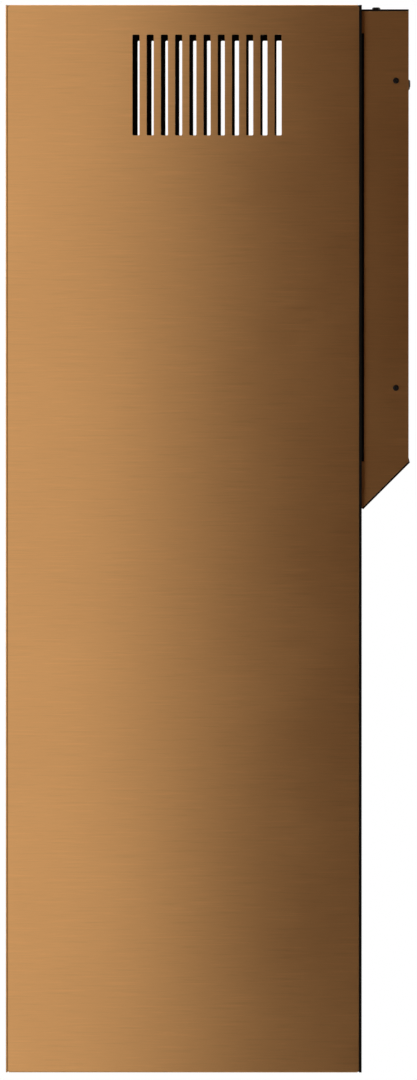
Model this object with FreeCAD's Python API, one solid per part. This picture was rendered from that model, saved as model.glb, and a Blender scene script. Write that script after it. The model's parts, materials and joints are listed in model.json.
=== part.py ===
import FreeCAD, Part
import os
from math import sqrt

# A wall-hung column vent hood: a square sheet-metal column with eleven vent slots near the top of
# each side, a shallow wall box behind its upper half, and inside it a blower, damper, filters,
# lamps and controls.
#
# Millimetres. x runs across the column, z up from its bottom rim. Depths are measured from the
# front face towards the wall; save() moves them so that the origin is at the middle of the
# outline, on the bottom rim, with +Y towards the wall.

# ---- driving dimensions ----
HEIGHT = 1060.0
WIDTH = 350.0
SHEET = 1.0
FRONT_SKIN = 1.5
COLUMN_DEPTH = 353.5
REAR_HEM = 2.6
TOTAL_DEPTH = 400.0
BOLT_HEAD_RISE = 2.0
BEND = 0.8
FRONT_EDGE_ROUND = 1.0
FLANGE = 12.0
CORNER_RELIEF = 1.5
PLATE_FIT = 0.2
TOP_PRESSING_MARGIN = 32.0
CLEAT_HEIGHTS = (180.0, 480.0, 780.0, 905.0)
CLEAT_LENGTH = 40.0
CLEAT_SHEET = 1.2

SLOT_COUNT = 11
SLOT_PITCH = 14.1
SLOT_WIDTH = 7.0
SLOT_LENGTH = 100.0
SLOT_TOP = HEIGHT - 29.4
SLOT_CORNER = 0.7
SLOT_MIDDLE_DEPTH = 199.9

BOX_WIDTH = 335.0
BOX_TOP = 1055.8
BOX_TOP_SHEET = 1.9
BOX_FOOT = 558.0
SLOPE_SHEET = 1.7
SLOPE_CLEARANCE = 1.3
SLOPE_LIP_REACH = 1.3
SLOPE_LIP_RISE = 3.6
GAP_WIDTH = 2.2
GAP_LOW = 607.0
GAP_HIGH = 1032.0

SIDE_SCREW_DEPTH = 387.4
SIDE_SCREW_HEIGHTS = (680.0, 985.0)
SIDE_SCREW_HEAD = (3.0, 1.8)
TOP_SCREW_DEPTH = 367.9
TOP_SCREW_PLACES = (-120.0, 0.0, 120.0)
TOP_SCREW_HEAD = (4.1, 2.9)
SCREW_RADIUS = 1.9
HOOK_BOLT_HEIGHT = 983.2
HOOK_BOLT_SPACING = 140.0
HOOK_BOLT_RADIUS = 2.5
HOOK_BOLT_HEAD_RADIUS = 4.2
HOOK_NOSE = (376.0, 379.0)
RAIL_HALF_LENGTH = 120.0
RAIL_SHEET = 1.5
RAIL_FACE = 381.0

BRACKET_LOW = 640.0
BRACKET_HIGH = 1030.0
BRACKET_SHEET = 1.8
BRACKET_TAB = 24.0
WALL_HOLE_RADIUS = 4.0
WALL_HOLE_SPACING = (260.0, 330.0)
WINDOW_WIDTH = 160.0
WINDOW_HEIGHT = 130.0
CABLE_HEIGHT = 750.0
CABLE_RADIUS = 4.0
GROMMET_WALL = 3.0
GROMMET_RIM = 2.0

BLOWER_DEPTH = 176.0
BLOWER_HEIGHT = 430.0
SCROLL_RADIUS = 112.0
SCROLL_HALF_WIDTH = 62.0
SCROLL_WALL = 2.0
SCROLL_TOP = 575.0
INLET_RADIUS = 72.0
WHEEL_RADIUS = 80.0
WHEEL_HALF_WIDTH = 50.0
WHEEL_RING = 3.0
WHEEL_HUB_RADIUS = 12.0
BLADE_COUNT = 36
BLADE_INNER_RADIUS = 64.0
BLADE_PITCH_DEGREES = 25.0
SHAFT_RADIUS = 4.0
SHAFT_SPAN = (-46.0, 14.0)
MOTOR_RADIUS = 42.0
MOTOR_SPAN = (-48.0, -5.0)
MOTOR_WALL = 2.0
MOTOR_BOSS_RADIUS = 14.0
BEARING_RADIUS = 11.0
ROTOR_RADIUS = 23.5
MOUNT_RADIUS = 5.0
MOUNT_HEIGHT = 3.0
SPIDER_HUB_RADIUS = 22.0
RUNNING_GAP = 0.05

SPIGOT_RADIUS = 60.0
SPIGOT_WALL = 1.5
SPIGOT_DEPTH = 228.0
SPIGOT_TOP = 650.0
SHELF_HEIGHT = 600.0
FLAP_HEIGHT = 636.0
FLAP_SHEET = 1.2
FLAP_PIN_RADIUS = 2.0
FLAP_KNUCKLE_RADIUS = 3.2
STOP_SIZE = (6.0, 2.0)
STOP_REACH = 4.0
STOP_SPREAD = 20.0
STOP_CLEARANCE = 0.3

CARBON_RADIUS = 95.0
CARBON_NEAR = 74.5
CARBON_FAR = 110.0
CARBON_WALL = 2.0
CARBON_SLOT_COUNT = 14
GRILLE_RADIUS = 90.0
GRILLE_BAR = 6.0
PEG_RADIUS = 12.0

FILTER_OPENING_WIDTH = 270.0
FILTER_OPENING_FRONT = 100.0
FILTER_OPENING_BACK = 324.0
FILTER_LOW = 1.5
FILTER_HIGH = 8.5
FILTER_HINGE_DEPTH = 318.0
FILTER_HINGE_RADIUS = 2.0
FILTER_FIT = 2.0
FILTER_BAR = 14.0
FILTER_CHANNEL = 5.0

LAMP_SPACING = 190.0
LAMP_DEPTH = 50.0
LAMP_RADIUS = 24.0
LAMP_FLANGE = 7.0
LAMP_COLLAR_HEIGHT = 14.0

BUTTON_COUNT = 5
BUTTON_SPACING = 30.0
BUTTON_HEIGHT = 60.0
BUTTON_RADIUS = 6.7
BUTTON_HOLE_RADIUS = 7.0
BUTTON_FACE = 0.2
BUTTON_BACK = 3.4
BUTTON_COLLAR_RADIUS = 9.0
STEM_RADIUS = 2.5
STEM_END = 8.2
CARRIER_HALF_WIDTH = 84.0
CARRIER_HALF_HEIGHT = 16.0
CARRIER_SPAN = (5.4, 7.4)
BUTTON_BOARD_FRONT = 14.0
BOARD_SHEET = 1.6

CONTROL_X = (50.0, 150.0)
CONTROL_Z = (230.0, 350.0)
CONTROL_FRONT = 306.0
CONTROL_WALL = 2.0
CONTROL_BOARD_FACE = 344.0
TERMINAL_SPACING = 11.0
CAPACITOR_X = -110.0
CAPACITOR_DEPTH = 334.0
CAPACITOR_RADIUS = 15.0
CAPACITOR_SPAN = (250.0, 312.0)
STRAP_SPAN = (272.0, 288.0)

# ---- worked out from them ----
FRONT_Y = -(TOTAL_DEPTH + BOLT_HEAD_RISE) / 2
HALF = WIDTH / 2
INNER = HALF - SHEET
SIDE_BACK = COLUMN_DEPTH - REAR_HEM
PANEL_INSIDE = COLUMN_DEPTH - SHEET
PLATE_DEPTH = (FRONT_SKIN + SHEET + PLATE_FIT, SIDE_BACK - SHEET - PLATE_FIT)
BOX_HALF = BOX_WIDTH / 2
SCROLL_OUTLET = (SPIGOT_DEPTH - SPIGOT_RADIUS, SPIGOT_DEPTH + SPIGOT_RADIUS)
X_AXIS = FreeCAD.Vector(1, 0, 0)
Y_AXIS = FreeCAD.Vector(0, 1, 0)
Z_AXIS = FreeCAD.Vector(0, 0, 1)


# ---- building blocks ----
def point(x, depth, z):
    return FreeCAD.Vector(x, depth, z)


def block(x, depth, z):
    """A box from three (low, high) pairs."""
    size = [high - low for low, high in (x, depth, z)]
    return Part.makeBox(size[0], size[1], size[2], point(x[0], depth[0], z[0]))


def rod(radius, x, depth, z):
    """A cylinder along the one direction that is given as a (low, high) pair."""
    if isinstance(x, tuple):
        return Part.makeCylinder(radius, x[1] - x[0], point(x[0], depth, z), X_AXIS)
    if isinstance(depth, tuple):
        return Part.makeCylinder(radius, depth[1] - depth[0], point(x, depth[0], z), Y_AXIS)
    return Part.makeCylinder(radius, z[1] - z[0], point(x, depth, z[0]), Z_AXIS)


def tube(outer, inner, x, depth, z):
    return rod(outer, x, depth, z).cut(rod(inner, x, depth, z))


def join(shapes):
    """One solid from overlapping or touching pieces."""
    return shapes[0].fuse(list(shapes[1:])).removeSplitter()


def group(shapes):
    """Separate solids that share one node."""
    return Part.makeCompound(list(shapes))


def mirrored(shape):
    return shape.mirror(point(0, 0, 0), X_AXIS)


def pair(shape):
    return group([shape, mirrored(shape)])


def turned(shape, degrees, depth, z):
    """A copy turned about the line along x through (depth, z)."""
    copy = shape.copy()
    copy.rotate(point(0, depth, z), X_AXIS, degrees)
    return copy


def profile(outline, x):
    """A closed outline of (depth, z) points drawn out along x."""
    corners = [point(x[0], depth, z) for depth, z in outline]
    face = Part.Face(Part.makePolygon(corners + corners[:1]))
    return face.extrude(point(x[1] - x[0], 0, 0))


def rounded_along(shape, direction, radius, wanted):
    """The shape with its straight edges along a direction rounded, where wanted(middle) holds."""
    edges = []
    for edge in shape.Edges:
        run = edge.Vertexes[-1].Point - edge.Vertexes[0].Point
        straight = run.Length > 1e-6 and run.cross(direction).Length < 1e-6
        if straight and wanted(edge.CenterOfMass):
            edges.append(edge)
    return shape.makeFillet(radius, edges)


def save(shape, name):
    moved = shape.copy()
    moved.translate(FreeCAD.Vector(0, FRONT_Y, 0))
    moved.exportStep("parts/" + name + ".step")


# ---- the column ----
def vent_slot(centre_depth):
    low = SLOT_TOP - SLOT_LENGTH
    half = SLOT_WIDTH / 2
    cutter = block((INNER - 1, HALF + 1), (centre_depth - half, centre_depth + half), (low, SLOT_TOP))
    return rounded_along(cutter, X_AXIS, SLOT_CORNER, lambda middle: True)


def side_panel():
    """The right side: a shallow tray with four inward flanges, relieved at the corners."""
    depth = (FRONT_SKIN, SIDE_BACK)
    shell = block((HALF - FLANGE, HALF), depth, (0, HEIGHT))
    inside_depth = (FRONT_SKIN + SHEET, SIDE_BACK - SHEET)
    shell = shell.cut(block((0, INNER), inside_depth, (SHEET, HEIGHT - SHEET)))
    for direction in (Y_AXIS, Z_AXIS):
        shell = rounded_along(shell, direction, BEND, lambda middle: middle.x > HALF - 0.01)
    corners = [
        block((0, HALF + 1), (edge_depth, edge_depth + CORNER_RELIEF), (z, z + CORNER_RELIEF))
        for edge_depth in (FRONT_SKIN, SIDE_BACK - CORNER_RELIEF)
        for z in (0, HEIGHT - CORNER_RELIEF)
    ]
    first = SLOT_MIDDLE_DEPTH - (SLOT_COUNT - 1) * SLOT_PITCH / 2
    slots = [vent_slot(first + i * SLOT_PITCH) for i in range(SLOT_COUNT)]
    return shell.cut(corners + slots)


def button_places():
    first = -(BUTTON_COUNT - 1) / 2
    return [(first + i) * BUTTON_SPACING for i in range(BUTTON_COUNT)]


def front_panel():
    """The hemmed front skin, with short returns at top and bottom and the push-button holes."""
    skin = block((-HALF, HALF), (0, FRONT_SKIN), (0, HEIGHT))
    skin = rounded_along(skin, Z_AXIS, FRONT_EDGE_ROUND, lambda middle: middle.y < 0.01)
    reach = (FRONT_SKIN - 0.5, FRONT_SKIN + FLANGE)
    half_return = HALF - FLANGE - 2
    returns = [
        block((-half_return, half_return), reach, (z, z + SHEET)) for z in (0, HEIGHT - SHEET)
    ]
    holes = [
        rod(BUTTON_HOLE_RADIUS, x, (-1, FRONT_SKIN + 1), BUTTON_HEIGHT) for x in button_places()
    ]
    return join([skin] + returns).cut(holes)


def rear_panel():
    """The black back of the column: a sheet with hemmed side edges and short returns."""
    sheet = block((-HALF, HALF), (COLUMN_DEPTH - SHEET, COLUMN_DEPTH), (0, HEIGHT))
    hem = join([
        block((HALF - SHEET, HALF), (SIDE_BACK, COLUMN_DEPTH), (0, HEIGHT)),
        block((HALF - FLANGE, HALF), (SIDE_BACK, SIDE_BACK + SHEET), (0, HEIGHT)),
    ])
    half_return = HALF - FLANGE - 2
    reach = (COLUMN_DEPTH - SHEET - FLANGE, COLUMN_DEPTH - 0.5)
    returns = [
        block((-half_return, half_return), reach, (z, z + SHEET)) for z in (0, HEIGHT - SHEET)
    ]
    hole_radius = CABLE_RADIUS + GROMMET_WALL
    cable_hole = rod(hole_radius, 0, (COLUMN_DEPTH - 2, COLUMN_DEPTH + 1), CABLE_HEIGHT)
    return join([sheet, hem, mirrored(hem)] + returns).cut(cable_hole)


def top_plate():
    """A closing plate under the top flanges, stiffened by a pressed panel."""
    high = HEIGHT - SHEET
    half_plate = INNER - 2 * PLATE_FIT
    plate = block((-half_plate, half_plate), PLATE_DEPTH, (high - SHEET, high))
    margin = TOP_PRESSING_MARGIN
    pressed = (PLATE_DEPTH[0] + margin, PLATE_DEPTH[1] - margin)
    dome = block((-INNER + margin, INNER - margin), pressed, (high - 4 * SHEET, high - SHEET))
    hollow = block(
        (-INNER + margin + SHEET, INNER - margin - SHEET),
        (pressed[0] + SHEET, pressed[1] - SHEET),
        (high - 3 * SHEET, high + 1),
    )
    return join([plate, dome]).cut(hollow)


def bottom_plate():
    """The underside: two lamp holes in front, and the filter opening with its turned-up collar."""
    half_plate = INNER - 2 * PLATE_FIT
    plate = block((-half_plate, half_plate), PLATE_DEPTH, (SHEET, 2 * SHEET))
    half = FILTER_OPENING_WIDTH / 2
    opening = (FILTER_OPENING_FRONT, FILTER_OPENING_BACK)
    collar = block(
        (-half - SHEET, half + SHEET), (opening[0] - SHEET, opening[1] + SHEET), (SHEET, FLANGE)
    )
    well = block((-half, half), opening, (0, FLANGE + 1))
    lamps = [
        rod(LAMP_RADIUS + 2, side * LAMP_SPACING / 2, LAMP_DEPTH, (0, FLANGE)) for side in (-1, 1)
    ]
    hinge_hole = rod(
        FILTER_HINGE_RADIUS + RUNNING_GAP,
        (-half - 5, half + 5),
        FILTER_HINGE_DEPTH,
        (FILTER_LOW + FILTER_HIGH) / 2,
    )
    return join([plate, collar]).cut([well, hinge_hole] + lamps)


def corner_cleats():
    """Angle cleats that tie the side panels to the front and rear panels inside the corners."""
    cleats = []
    for z in CLEAT_HEIGHTS:
        span = (z, z + CLEAT_LENGTH)
        front = FRONT_SKIN + SHEET
        back = SIDE_BACK - SHEET
        for near, away in ((front, front + FLANGE), (back, back - FLANGE)):
            leg = block((INNER - CLEAT_SHEET, INNER), tuple(sorted((near, away))), span)
            towards = near + CLEAT_SHEET if away > near else near - CLEAT_SHEET
            foot = block((HALF - FLANGE, INNER), tuple(sorted((near, towards))), span)
            cleat = join([leg, foot])
            cleats += [cleat, mirrored(cleat)]
    return group(cleats)


# ---- the wall box ----
def slope_line(depth):
    """Height of the wall box's 45 degree underside at a depth."""
    return BOX_FOOT + depth - COLUMN_DEPTH


def box_side():
    """The right cheek: clear of the column along the gap, with two fixing tabs at its ends."""
    lift = SLOPE_SHEET * sqrt(2)
    high = BOX_TOP - BOX_TOP_SHEET
    outline = [
        (COLUMN_DEPTH, slope_line(COLUMN_DEPTH) + lift),
        (TOTAL_DEPTH, slope_line(TOTAL_DEPTH) + lift),
        (TOTAL_DEPTH, high),
        (COLUMN_DEPTH, high),
    ]
    cheek = profile(outline, (BOX_HALF - SHEET, BOX_HALF))
    tabs = [
        block((BOX_HALF - FLANGE, BOX_HALF - SHEET / 2), (COLUMN_DEPTH, COLUMN_DEPTH + SHEET), span)
        for span in ((BOX_FOOT + 10, GAP_LOW - 6), (GAP_HIGH + 4, high - 2))
    ]
    gap = block((0, HALF), (COLUMN_DEPTH - 1, COLUMN_DEPTH + GAP_WIDTH), (GAP_LOW, GAP_HIGH))
    holes = [
        rod(2.2, (BOX_HALF - 2, BOX_HALF + 1), SIDE_SCREW_DEPTH, z) for z in SIDE_SCREW_HEIGHTS
    ]
    return join([cheek] + tabs).cut([gap] + holes)


def box_top():
    """The lid of the wall box, with a lip that is fixed to the back of the column."""
    sheet_span = (BOX_TOP - BOX_TOP_SHEET, BOX_TOP)
    plate = block((-BOX_HALF, BOX_HALF), (COLUMN_DEPTH, TOTAL_DEPTH), sheet_span)
    lip_half = BOX_HALF - FLANGE - 1
    lip = block((-lip_half, lip_half), (COLUMN_DEPTH, COLUMN_DEPTH + SHEET), (BOX_TOP - 16, BOX_TOP - 1))
    holes = [
        rod(SCREW_RADIUS, x, TOP_SCREW_DEPTH, (BOX_TOP - 3, BOX_TOP + 1)) for x in TOP_SCREW_PLACES
    ]
    return join([plate, lip]).cut(holes)


def box_slope():
    """The sloping underside: square-cut at its foot, ending in a pinched lip behind the cheeks."""
    lift = SLOPE_SHEET * sqrt(2)
    foot = COLUMN_DEPTH + SLOPE_CLEARANCE
    foot_top = foot - lift / 2
    tip = TOTAL_DEPTH + SLOPE_LIP_REACH
    outline = [
        (foot, slope_line(foot)),
        (tip, slope_line(tip)),
        (TOTAL_DEPTH, slope_line(TOTAL_DEPTH) + lift + SLOPE_LIP_RISE),
        (TOTAL_DEPTH, slope_line(TOTAL_DEPTH) + lift),
        (foot_top, slope_line(foot_top) + lift),
    ]
    return profile(outline, (-BOX_HALF, BOX_HALF))


def screw_head_along_x(radius, rise, x, depth, z):
    """A low pan head whose rim is rounded, facing +x."""
    head = rod(radius, (x, x + rise), depth, z)
    rim = [e for e in head.Edges if e.Closed and e.CenterOfMass.x > x + rise - 0.01]
    return head.makeFillet(rise * 0.6, rim)


def box_side_screws():
    """Two screws on each side that clamp the cheek to the wall bracket's tab."""
    radius, rise = SIDE_SCREW_HEAD
    tip = BOX_HALF - SHEET - PLATE_FIT - BRACKET_SHEET - 5
    screws = []
    for z in SIDE_SCREW_HEIGHTS:
        head = screw_head_along_x(radius, rise, BOX_HALF, SIDE_SCREW_DEPTH, z)
        screw = join([head, rod(SCREW_RADIUS, (tip, BOX_HALF), SIDE_SCREW_DEPTH, z)])
        screws += [screw, mirrored(screw)]
    return group(screws)


def box_top_screws():
    radius, rise = TOP_SCREW_HEAD
    screws = []
    for x in TOP_SCREW_PLACES:
        head = screw_head_along_x(radius, rise, 0, 0, 0)
        head.rotate(point(0, 0, 0), Y_AXIS, -90)
        head.translate(point(x, TOP_SCREW_DEPTH, BOX_TOP))
        screws.append(join([head, rod(SCREW_RADIUS, x, TOP_SCREW_DEPTH, (BOX_TOP - 8, BOX_TOP))]))
    return group(screws)


def gap_seals():
    """Foam strips that close the gaps between the column and the wall box from inside."""
    strip = block(
        (BOX_HALF - 9, BOX_HALF - 3), (COLUMN_DEPTH, COLUMN_DEPTH + 4.5), (GAP_LOW + 1, GAP_HIGH - 1)
    )
    return pair(strip)


def wall_bracket():
    """The plate that is screwed to the wall, with a cable window and tabs for the side screws."""
    outer = BOX_HALF - SHEET - PLATE_FIT
    height = (BRACKET_LOW, BRACKET_HIGH)
    depth = (TOTAL_DEPTH - BRACKET_SHEET, TOTAL_DEPTH)
    plate = block((-outer, outer), depth, height)
    tab = block((outer - BRACKET_SHEET, outer), (TOTAL_DEPTH - BRACKET_TAB, TOTAL_DEPTH), height)
    cutters = [
        block(
            (-WINDOW_WIDTH / 2, WINDOW_WIDTH / 2),
            (depth[0] - 1, depth[1] + 1),
            (CABLE_HEIGHT - WINDOW_HEIGHT / 2, CABLE_HEIGHT + WINDOW_HEIGHT / 2),
        )
    ]
    middle = (BRACKET_LOW + BRACKET_HIGH) / 2
    for x in (-WALL_HOLE_SPACING[0] / 2, WALL_HOLE_SPACING[0] / 2):
        for z in (middle - WALL_HOLE_SPACING[1] / 2, middle + WALL_HOLE_SPACING[1] / 2):
            cutters.append(rod(WALL_HOLE_RADIUS, x, (depth[0] - 1, depth[1] + 1), z))
    for x in (-HOOK_BOLT_SPACING / 2, HOOK_BOLT_SPACING / 2):
        cutters.append(rod(HOOK_BOLT_RADIUS, x, (depth[0] - 1, depth[1] + 1), HOOK_BOLT_HEIGHT))
    for z in SIDE_SCREW_HEIGHTS:
        cutters.append(rod(SCREW_RADIUS, (-HALF, HALF), SIDE_SCREW_DEPTH, z))
    return join([plate, tab, mirrored(tab)]).cut(cutters)


def hook_bolts():
    """Shouldered bolts through the bracket: low heads behind, nuts, and collars that hook the rail."""
    x = HOOK_BOLT_SPACING / 2
    z = HOOK_BOLT_HEIGHT
    front_of_plate = TOTAL_DEPTH - BRACKET_SHEET
    bolt = join([
        rod(HOOK_BOLT_HEAD_RADIUS, x, (TOTAL_DEPTH, TOTAL_DEPTH + BOLT_HEAD_RISE), z),
        rod(HOOK_BOLT_RADIUS, x, (HOOK_NOSE[0], TOTAL_DEPTH), z),
        rod(HOOK_BOLT_HEAD_RADIUS, x, (front_of_plate - 3.0, front_of_plate), z),
        rod(HOOK_BOLT_HEAD_RADIUS + 0.5, x, HOOK_NOSE, z),
    ])
    return pair(bolt)


def rail_keyhole(x):
    """An entry hole below a slot that is closed by a round top."""
    z = HOOK_BOLT_HEIGHT
    neck = HOOK_BOLT_RADIUS + 0.3
    span = (RAIL_FACE - 1, RAIL_FACE + RAIL_SHEET + 1)
    return [
        rod(HOOK_BOLT_HEAD_RADIUS + 1, x, span, z - 11),
        block((x - neck, x + neck), span, (z - 11, z)),
        rod(neck, x, span, z),
    ]


def hang_rail():
    """The hat-section rail on the column's back, with a keyhole for each hook bolt."""
    length = (-RAIL_HALF_LENGTH, RAIL_HALF_LENGTH)
    low, high = HOOK_BOLT_HEIGHT - 20, HOOK_BOLT_HEIGHT + 14
    legs = [
        block(length, (COLUMN_DEPTH, RAIL_FACE + RAIL_SHEET), (z, z + RAIL_SHEET))
        for z in (low, high)
    ]
    lips = [
        block(length, (COLUMN_DEPTH, COLUMN_DEPTH + RAIL_SHEET), span)
        for span in ((low - FLANGE, low), (high, high + FLANGE))
    ]
    web = block(length, (RAIL_FACE, RAIL_FACE + RAIL_SHEET), (low, high + RAIL_SHEET))
    half_spacing = HOOK_BOLT_SPACING / 2
    keyholes = rail_keyhole(-half_spacing) + rail_keyhole(half_spacing)
    return join(legs + lips + [web]).cut(keyholes)


def cable_grommet():
    """A rubber grommet in the back of the column, where the supply cable comes out."""
    z = CABLE_HEIGHT
    inside = (PANEL_INSIDE - GROMMET_RIM, PANEL_INSIDE)
    outside = (COLUMN_DEPTH, COLUMN_DEPTH + GROMMET_RIM)
    rim_radius = CABLE_RADIUS + 2 * GROMMET_WALL
    body = join([
        rod(CABLE_RADIUS + GROMMET_WALL, 0, (inside[0], outside[1]), z),
        rod(rim_radius, 0, inside, z),
        rod(rim_radius, 0, outside, z),
    ])
    return body.cut(rod(CABLE_RADIUS, 0, (inside[0] - 1, outside[1] + 1), z))


# ---- the blower ----
def scroll_solid(radius, outlet, half_width, top):
    drum = rod(radius, (-half_width, half_width), BLOWER_DEPTH, BLOWER_HEIGHT)
    duct = block((-half_width, half_width), outlet, (BLOWER_HEIGHT, top))
    return join([drum, duct])


def scroll_half():
    """The right half of the scroll housing, split on the column's middle plane."""
    outer = scroll_solid(SCROLL_RADIUS, SCROLL_OUTLET, SCROLL_HALF_WIDTH, SCROLL_TOP)
    inner_outlet = (SCROLL_OUTLET[0] + SCROLL_WALL, SCROLL_OUTLET[1] - SCROLL_WALL)
    inner = scroll_solid(
        SCROLL_RADIUS - SCROLL_WALL, inner_outlet, SCROLL_HALF_WIDTH - SCROLL_WALL, SCROLL_TOP + 1
    )
    inlet = rod(INLET_RADIUS, (0, HALF), BLOWER_DEPTH, BLOWER_HEIGHT)
    shell = outer.cut([inner, inlet])
    return shell.common(block((0, HALF), (0, TOTAL_DEPTH), (0, HEIGHT)))


def around_axis(shape, count):
    """Copies of a shape spaced evenly about the blower's axis."""
    return [turned(shape, 360.0 * i / count, BLOWER_DEPTH, BLOWER_HEIGHT) for i in range(count)]


def blower_ring(outer, inner, x):
    return tube(outer, inner, x, BLOWER_DEPTH, BLOWER_HEIGHT)


def impeller_wheel():
    """A double-inlet wheel: blades between two end rings, a middle disc and a hub."""
    blade_low = BLOWER_HEIGHT + BLADE_INNER_RADIUS
    blade_high = BLOWER_HEIGHT + WHEEL_RADIUS - 1
    blade = block(
        (-WHEEL_HALF_WIDTH, WHEEL_HALF_WIDTH),
        (BLOWER_DEPTH - SHEET / 2, BLOWER_DEPTH + SHEET / 2),
        (blade_low, blade_high),
    )
    blade = turned(blade, BLADE_PITCH_DEGREES, BLOWER_DEPTH, (blade_low + blade_high) / 2)
    rings = [
        blower_ring(WHEEL_RADIUS, BLADE_INNER_RADIUS - 1, (low, low + WHEEL_RING))
        for low in (-WHEEL_HALF_WIDTH, WHEEL_HALF_WIDTH - WHEEL_RING)
    ]
    disc = blower_ring(WHEEL_RADIUS, SHAFT_RADIUS, (-1, 1))
    hub = blower_ring(WHEEL_HUB_RADIUS, SHAFT_RADIUS, (-3, SHAFT_SPAN[1]))
    return join([disc, hub] + rings + around_axis(blade, BLADE_COUNT))


def motor_can():
    """The motor's case, with a bearing seat in a boss at each end."""
    low, high = MOTOR_SPAN
    case = rod(MOTOR_RADIUS, (low, high), BLOWER_DEPTH, BLOWER_HEIGHT)
    room = (low + MOTOR_WALL, high - MOTOR_WALL)
    cavity = rod(MOTOR_RADIUS - MOTOR_WALL, room, BLOWER_DEPTH, BLOWER_HEIGHT)
    bosses = [
        rod(MOTOR_BOSS_RADIUS, span, BLOWER_DEPTH, BLOWER_HEIGHT)
        for span in ((low + 1, low + 11), (high - 10, high - 1))
    ]
    seats = [
        rod(BEARING_RADIUS, span, BLOWER_DEPTH, BLOWER_HEIGHT)
        for span in ((low + 4, low + 12), (high - 11, high - 3))
    ]
    passage = rod(SHAFT_RADIUS + 1, (low - 1, 0), BLOWER_DEPTH, BLOWER_HEIGHT)
    return join([case.cut(cavity)] + bosses).cut(seats + [passage])


def motor_bearings():
    low, high = MOTOR_SPAN
    bore = SHAFT_RADIUS + RUNNING_GAP
    return group(
        [blower_ring(BEARING_RADIUS, bore, span) for span in ((low + 4, low + 11), (high - 10, high - 3))]
    )


def motor_spider():
    """Three arms from a ring on the left inlet to a hub that carries the motor."""
    near = -SCROLL_HALF_WIDTH - MOUNT_HEIGHT
    plane = (near - 3, near)
    ring = blower_ring(INLET_RADIUS + 14, INLET_RADIUS - 2, plane)
    arm = block(plane, (BLOWER_DEPTH - 4, BLOWER_DEPTH + 4), (BLOWER_HEIGHT, BLOWER_HEIGHT + INLET_RADIUS))
    hub = rod(SPIDER_HUB_RADIUS, (plane[0], MOTOR_SPAN[0]), BLOWER_DEPTH, BLOWER_HEIGHT)
    return join([ring, hub] + around_axis(arm, 3))


def motor_mounts():
    """Rubber bushes between the spider's ring and the housing."""
    span = (-SCROLL_HALF_WIDTH - MOUNT_HEIGHT, -SCROLL_HALF_WIDTH)
    bush = rod(MOUNT_RADIUS, span, BLOWER_DEPTH, BLOWER_HEIGHT + INLET_RADIUS + 7)
    return group(around_axis(bush, 3))


def inlet_grille():
    """The right inlet's guard, on posts, with the peg that the carbon filter turns on."""
    plane = (CARBON_NEAR - 4.5, CARBON_NEAR - 0.5)
    ring = blower_ring(GRILLE_RADIUS, GRILLE_RADIUS - GRILLE_BAR, plane)
    inner_ring = blower_ring(50, 46, plane)
    spoke_top = BLOWER_HEIGHT + GRILLE_RADIUS - 2
    spoke = block(plane, (BLOWER_DEPTH - 2, BLOWER_DEPTH + 2), (BLOWER_HEIGHT, spoke_top))
    post = rod(
        GRILLE_BAR / 2, (SCROLL_HALF_WIDTH, plane[1]), BLOWER_DEPTH, BLOWER_HEIGHT + GRILLE_RADIUS + 1
    )
    post = turned(post, 30, BLOWER_DEPTH, BLOWER_HEIGHT)
    peg = rod(PEG_RADIUS, (plane[0], CARBON_FAR - 6), BLOWER_DEPTH, BLOWER_HEIGHT)
    return join([ring, inner_ring, peg] + around_axis(spoke, 6) + around_axis(post, 3))


def carbon_bed():
    room = (CARBON_NEAR + CARBON_WALL, CARBON_FAR - CARBON_WALL)
    return blower_ring(CARBON_RADIUS - CARBON_WALL, PEG_RADIUS + CARBON_WALL, room)


def carbon_case():
    """The right carbon filter's cassette, slotted on both faces, with the bore for the peg."""
    shell = blower_ring(CARBON_RADIUS, PEG_RADIUS + RUNNING_GAP, (CARBON_NEAR, CARBON_FAR))
    slot = block(
        (CARBON_NEAR - 1, CARBON_FAR + 1),
        (BLOWER_DEPTH - 4, BLOWER_DEPTH + 4),
        (BLOWER_HEIGHT + 26, BLOWER_HEIGHT + CARBON_RADIUS - 9),
    )
    return shell.cut([carbon_bed()] + around_axis(slot, CARBON_SLOT_COUNT))


# ---- the shelf and the damper ----
def blower_shelf():
    """The partition over the blower, with turned-down edges and the hole for the spigot."""
    reach = INNER - PLATE_FIT
    plate = block((-reach, reach), PLATE_DEPTH, (SHELF_HEIGHT, SHELF_HEIGHT + SHEET))
    edge_depth = (PLATE_DEPTH[0] + FLANGE, PLATE_DEPTH[1] - FLANGE)
    edge = block((reach - SHEET, reach), edge_depth, (SHELF_HEIGHT - FLANGE, SHELF_HEIGHT + SHEET))
    hole = rod(SPIGOT_RADIUS + 1, 0, SPIGOT_DEPTH, (SHELF_HEIGHT - 2, SHELF_HEIGHT + 3))
    return join([plate, edge, mirrored(edge)]).cut(hole)


def outlet_spigot():
    """The round collar on the scroll's outlet, with a square flange and holes for the damper pin."""
    bore = SPIGOT_RADIUS - SPIGOT_WALL
    flange_half = SPIGOT_RADIUS + 8
    flange = block(
        (-flange_half, flange_half),
        (SPIGOT_DEPTH - flange_half, SPIGOT_DEPTH + flange_half),
        (SCROLL_TOP, SCROLL_TOP + 2),
    )
    collar = rod(SPIGOT_RADIUS, 0, SPIGOT_DEPTH, (SCROLL_TOP, SPIGOT_TOP))
    body = join([flange, collar]).cut(rod(bore, 0, SPIGOT_DEPTH, (SCROLL_TOP - 1, SPIGOT_TOP + 1)))
    pin_hole = rod(FLAP_PIN_RADIUS, (-HALF, HALF), SPIGOT_DEPTH, FLAP_HEIGHT)
    return body.cut(pin_hole)


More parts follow.
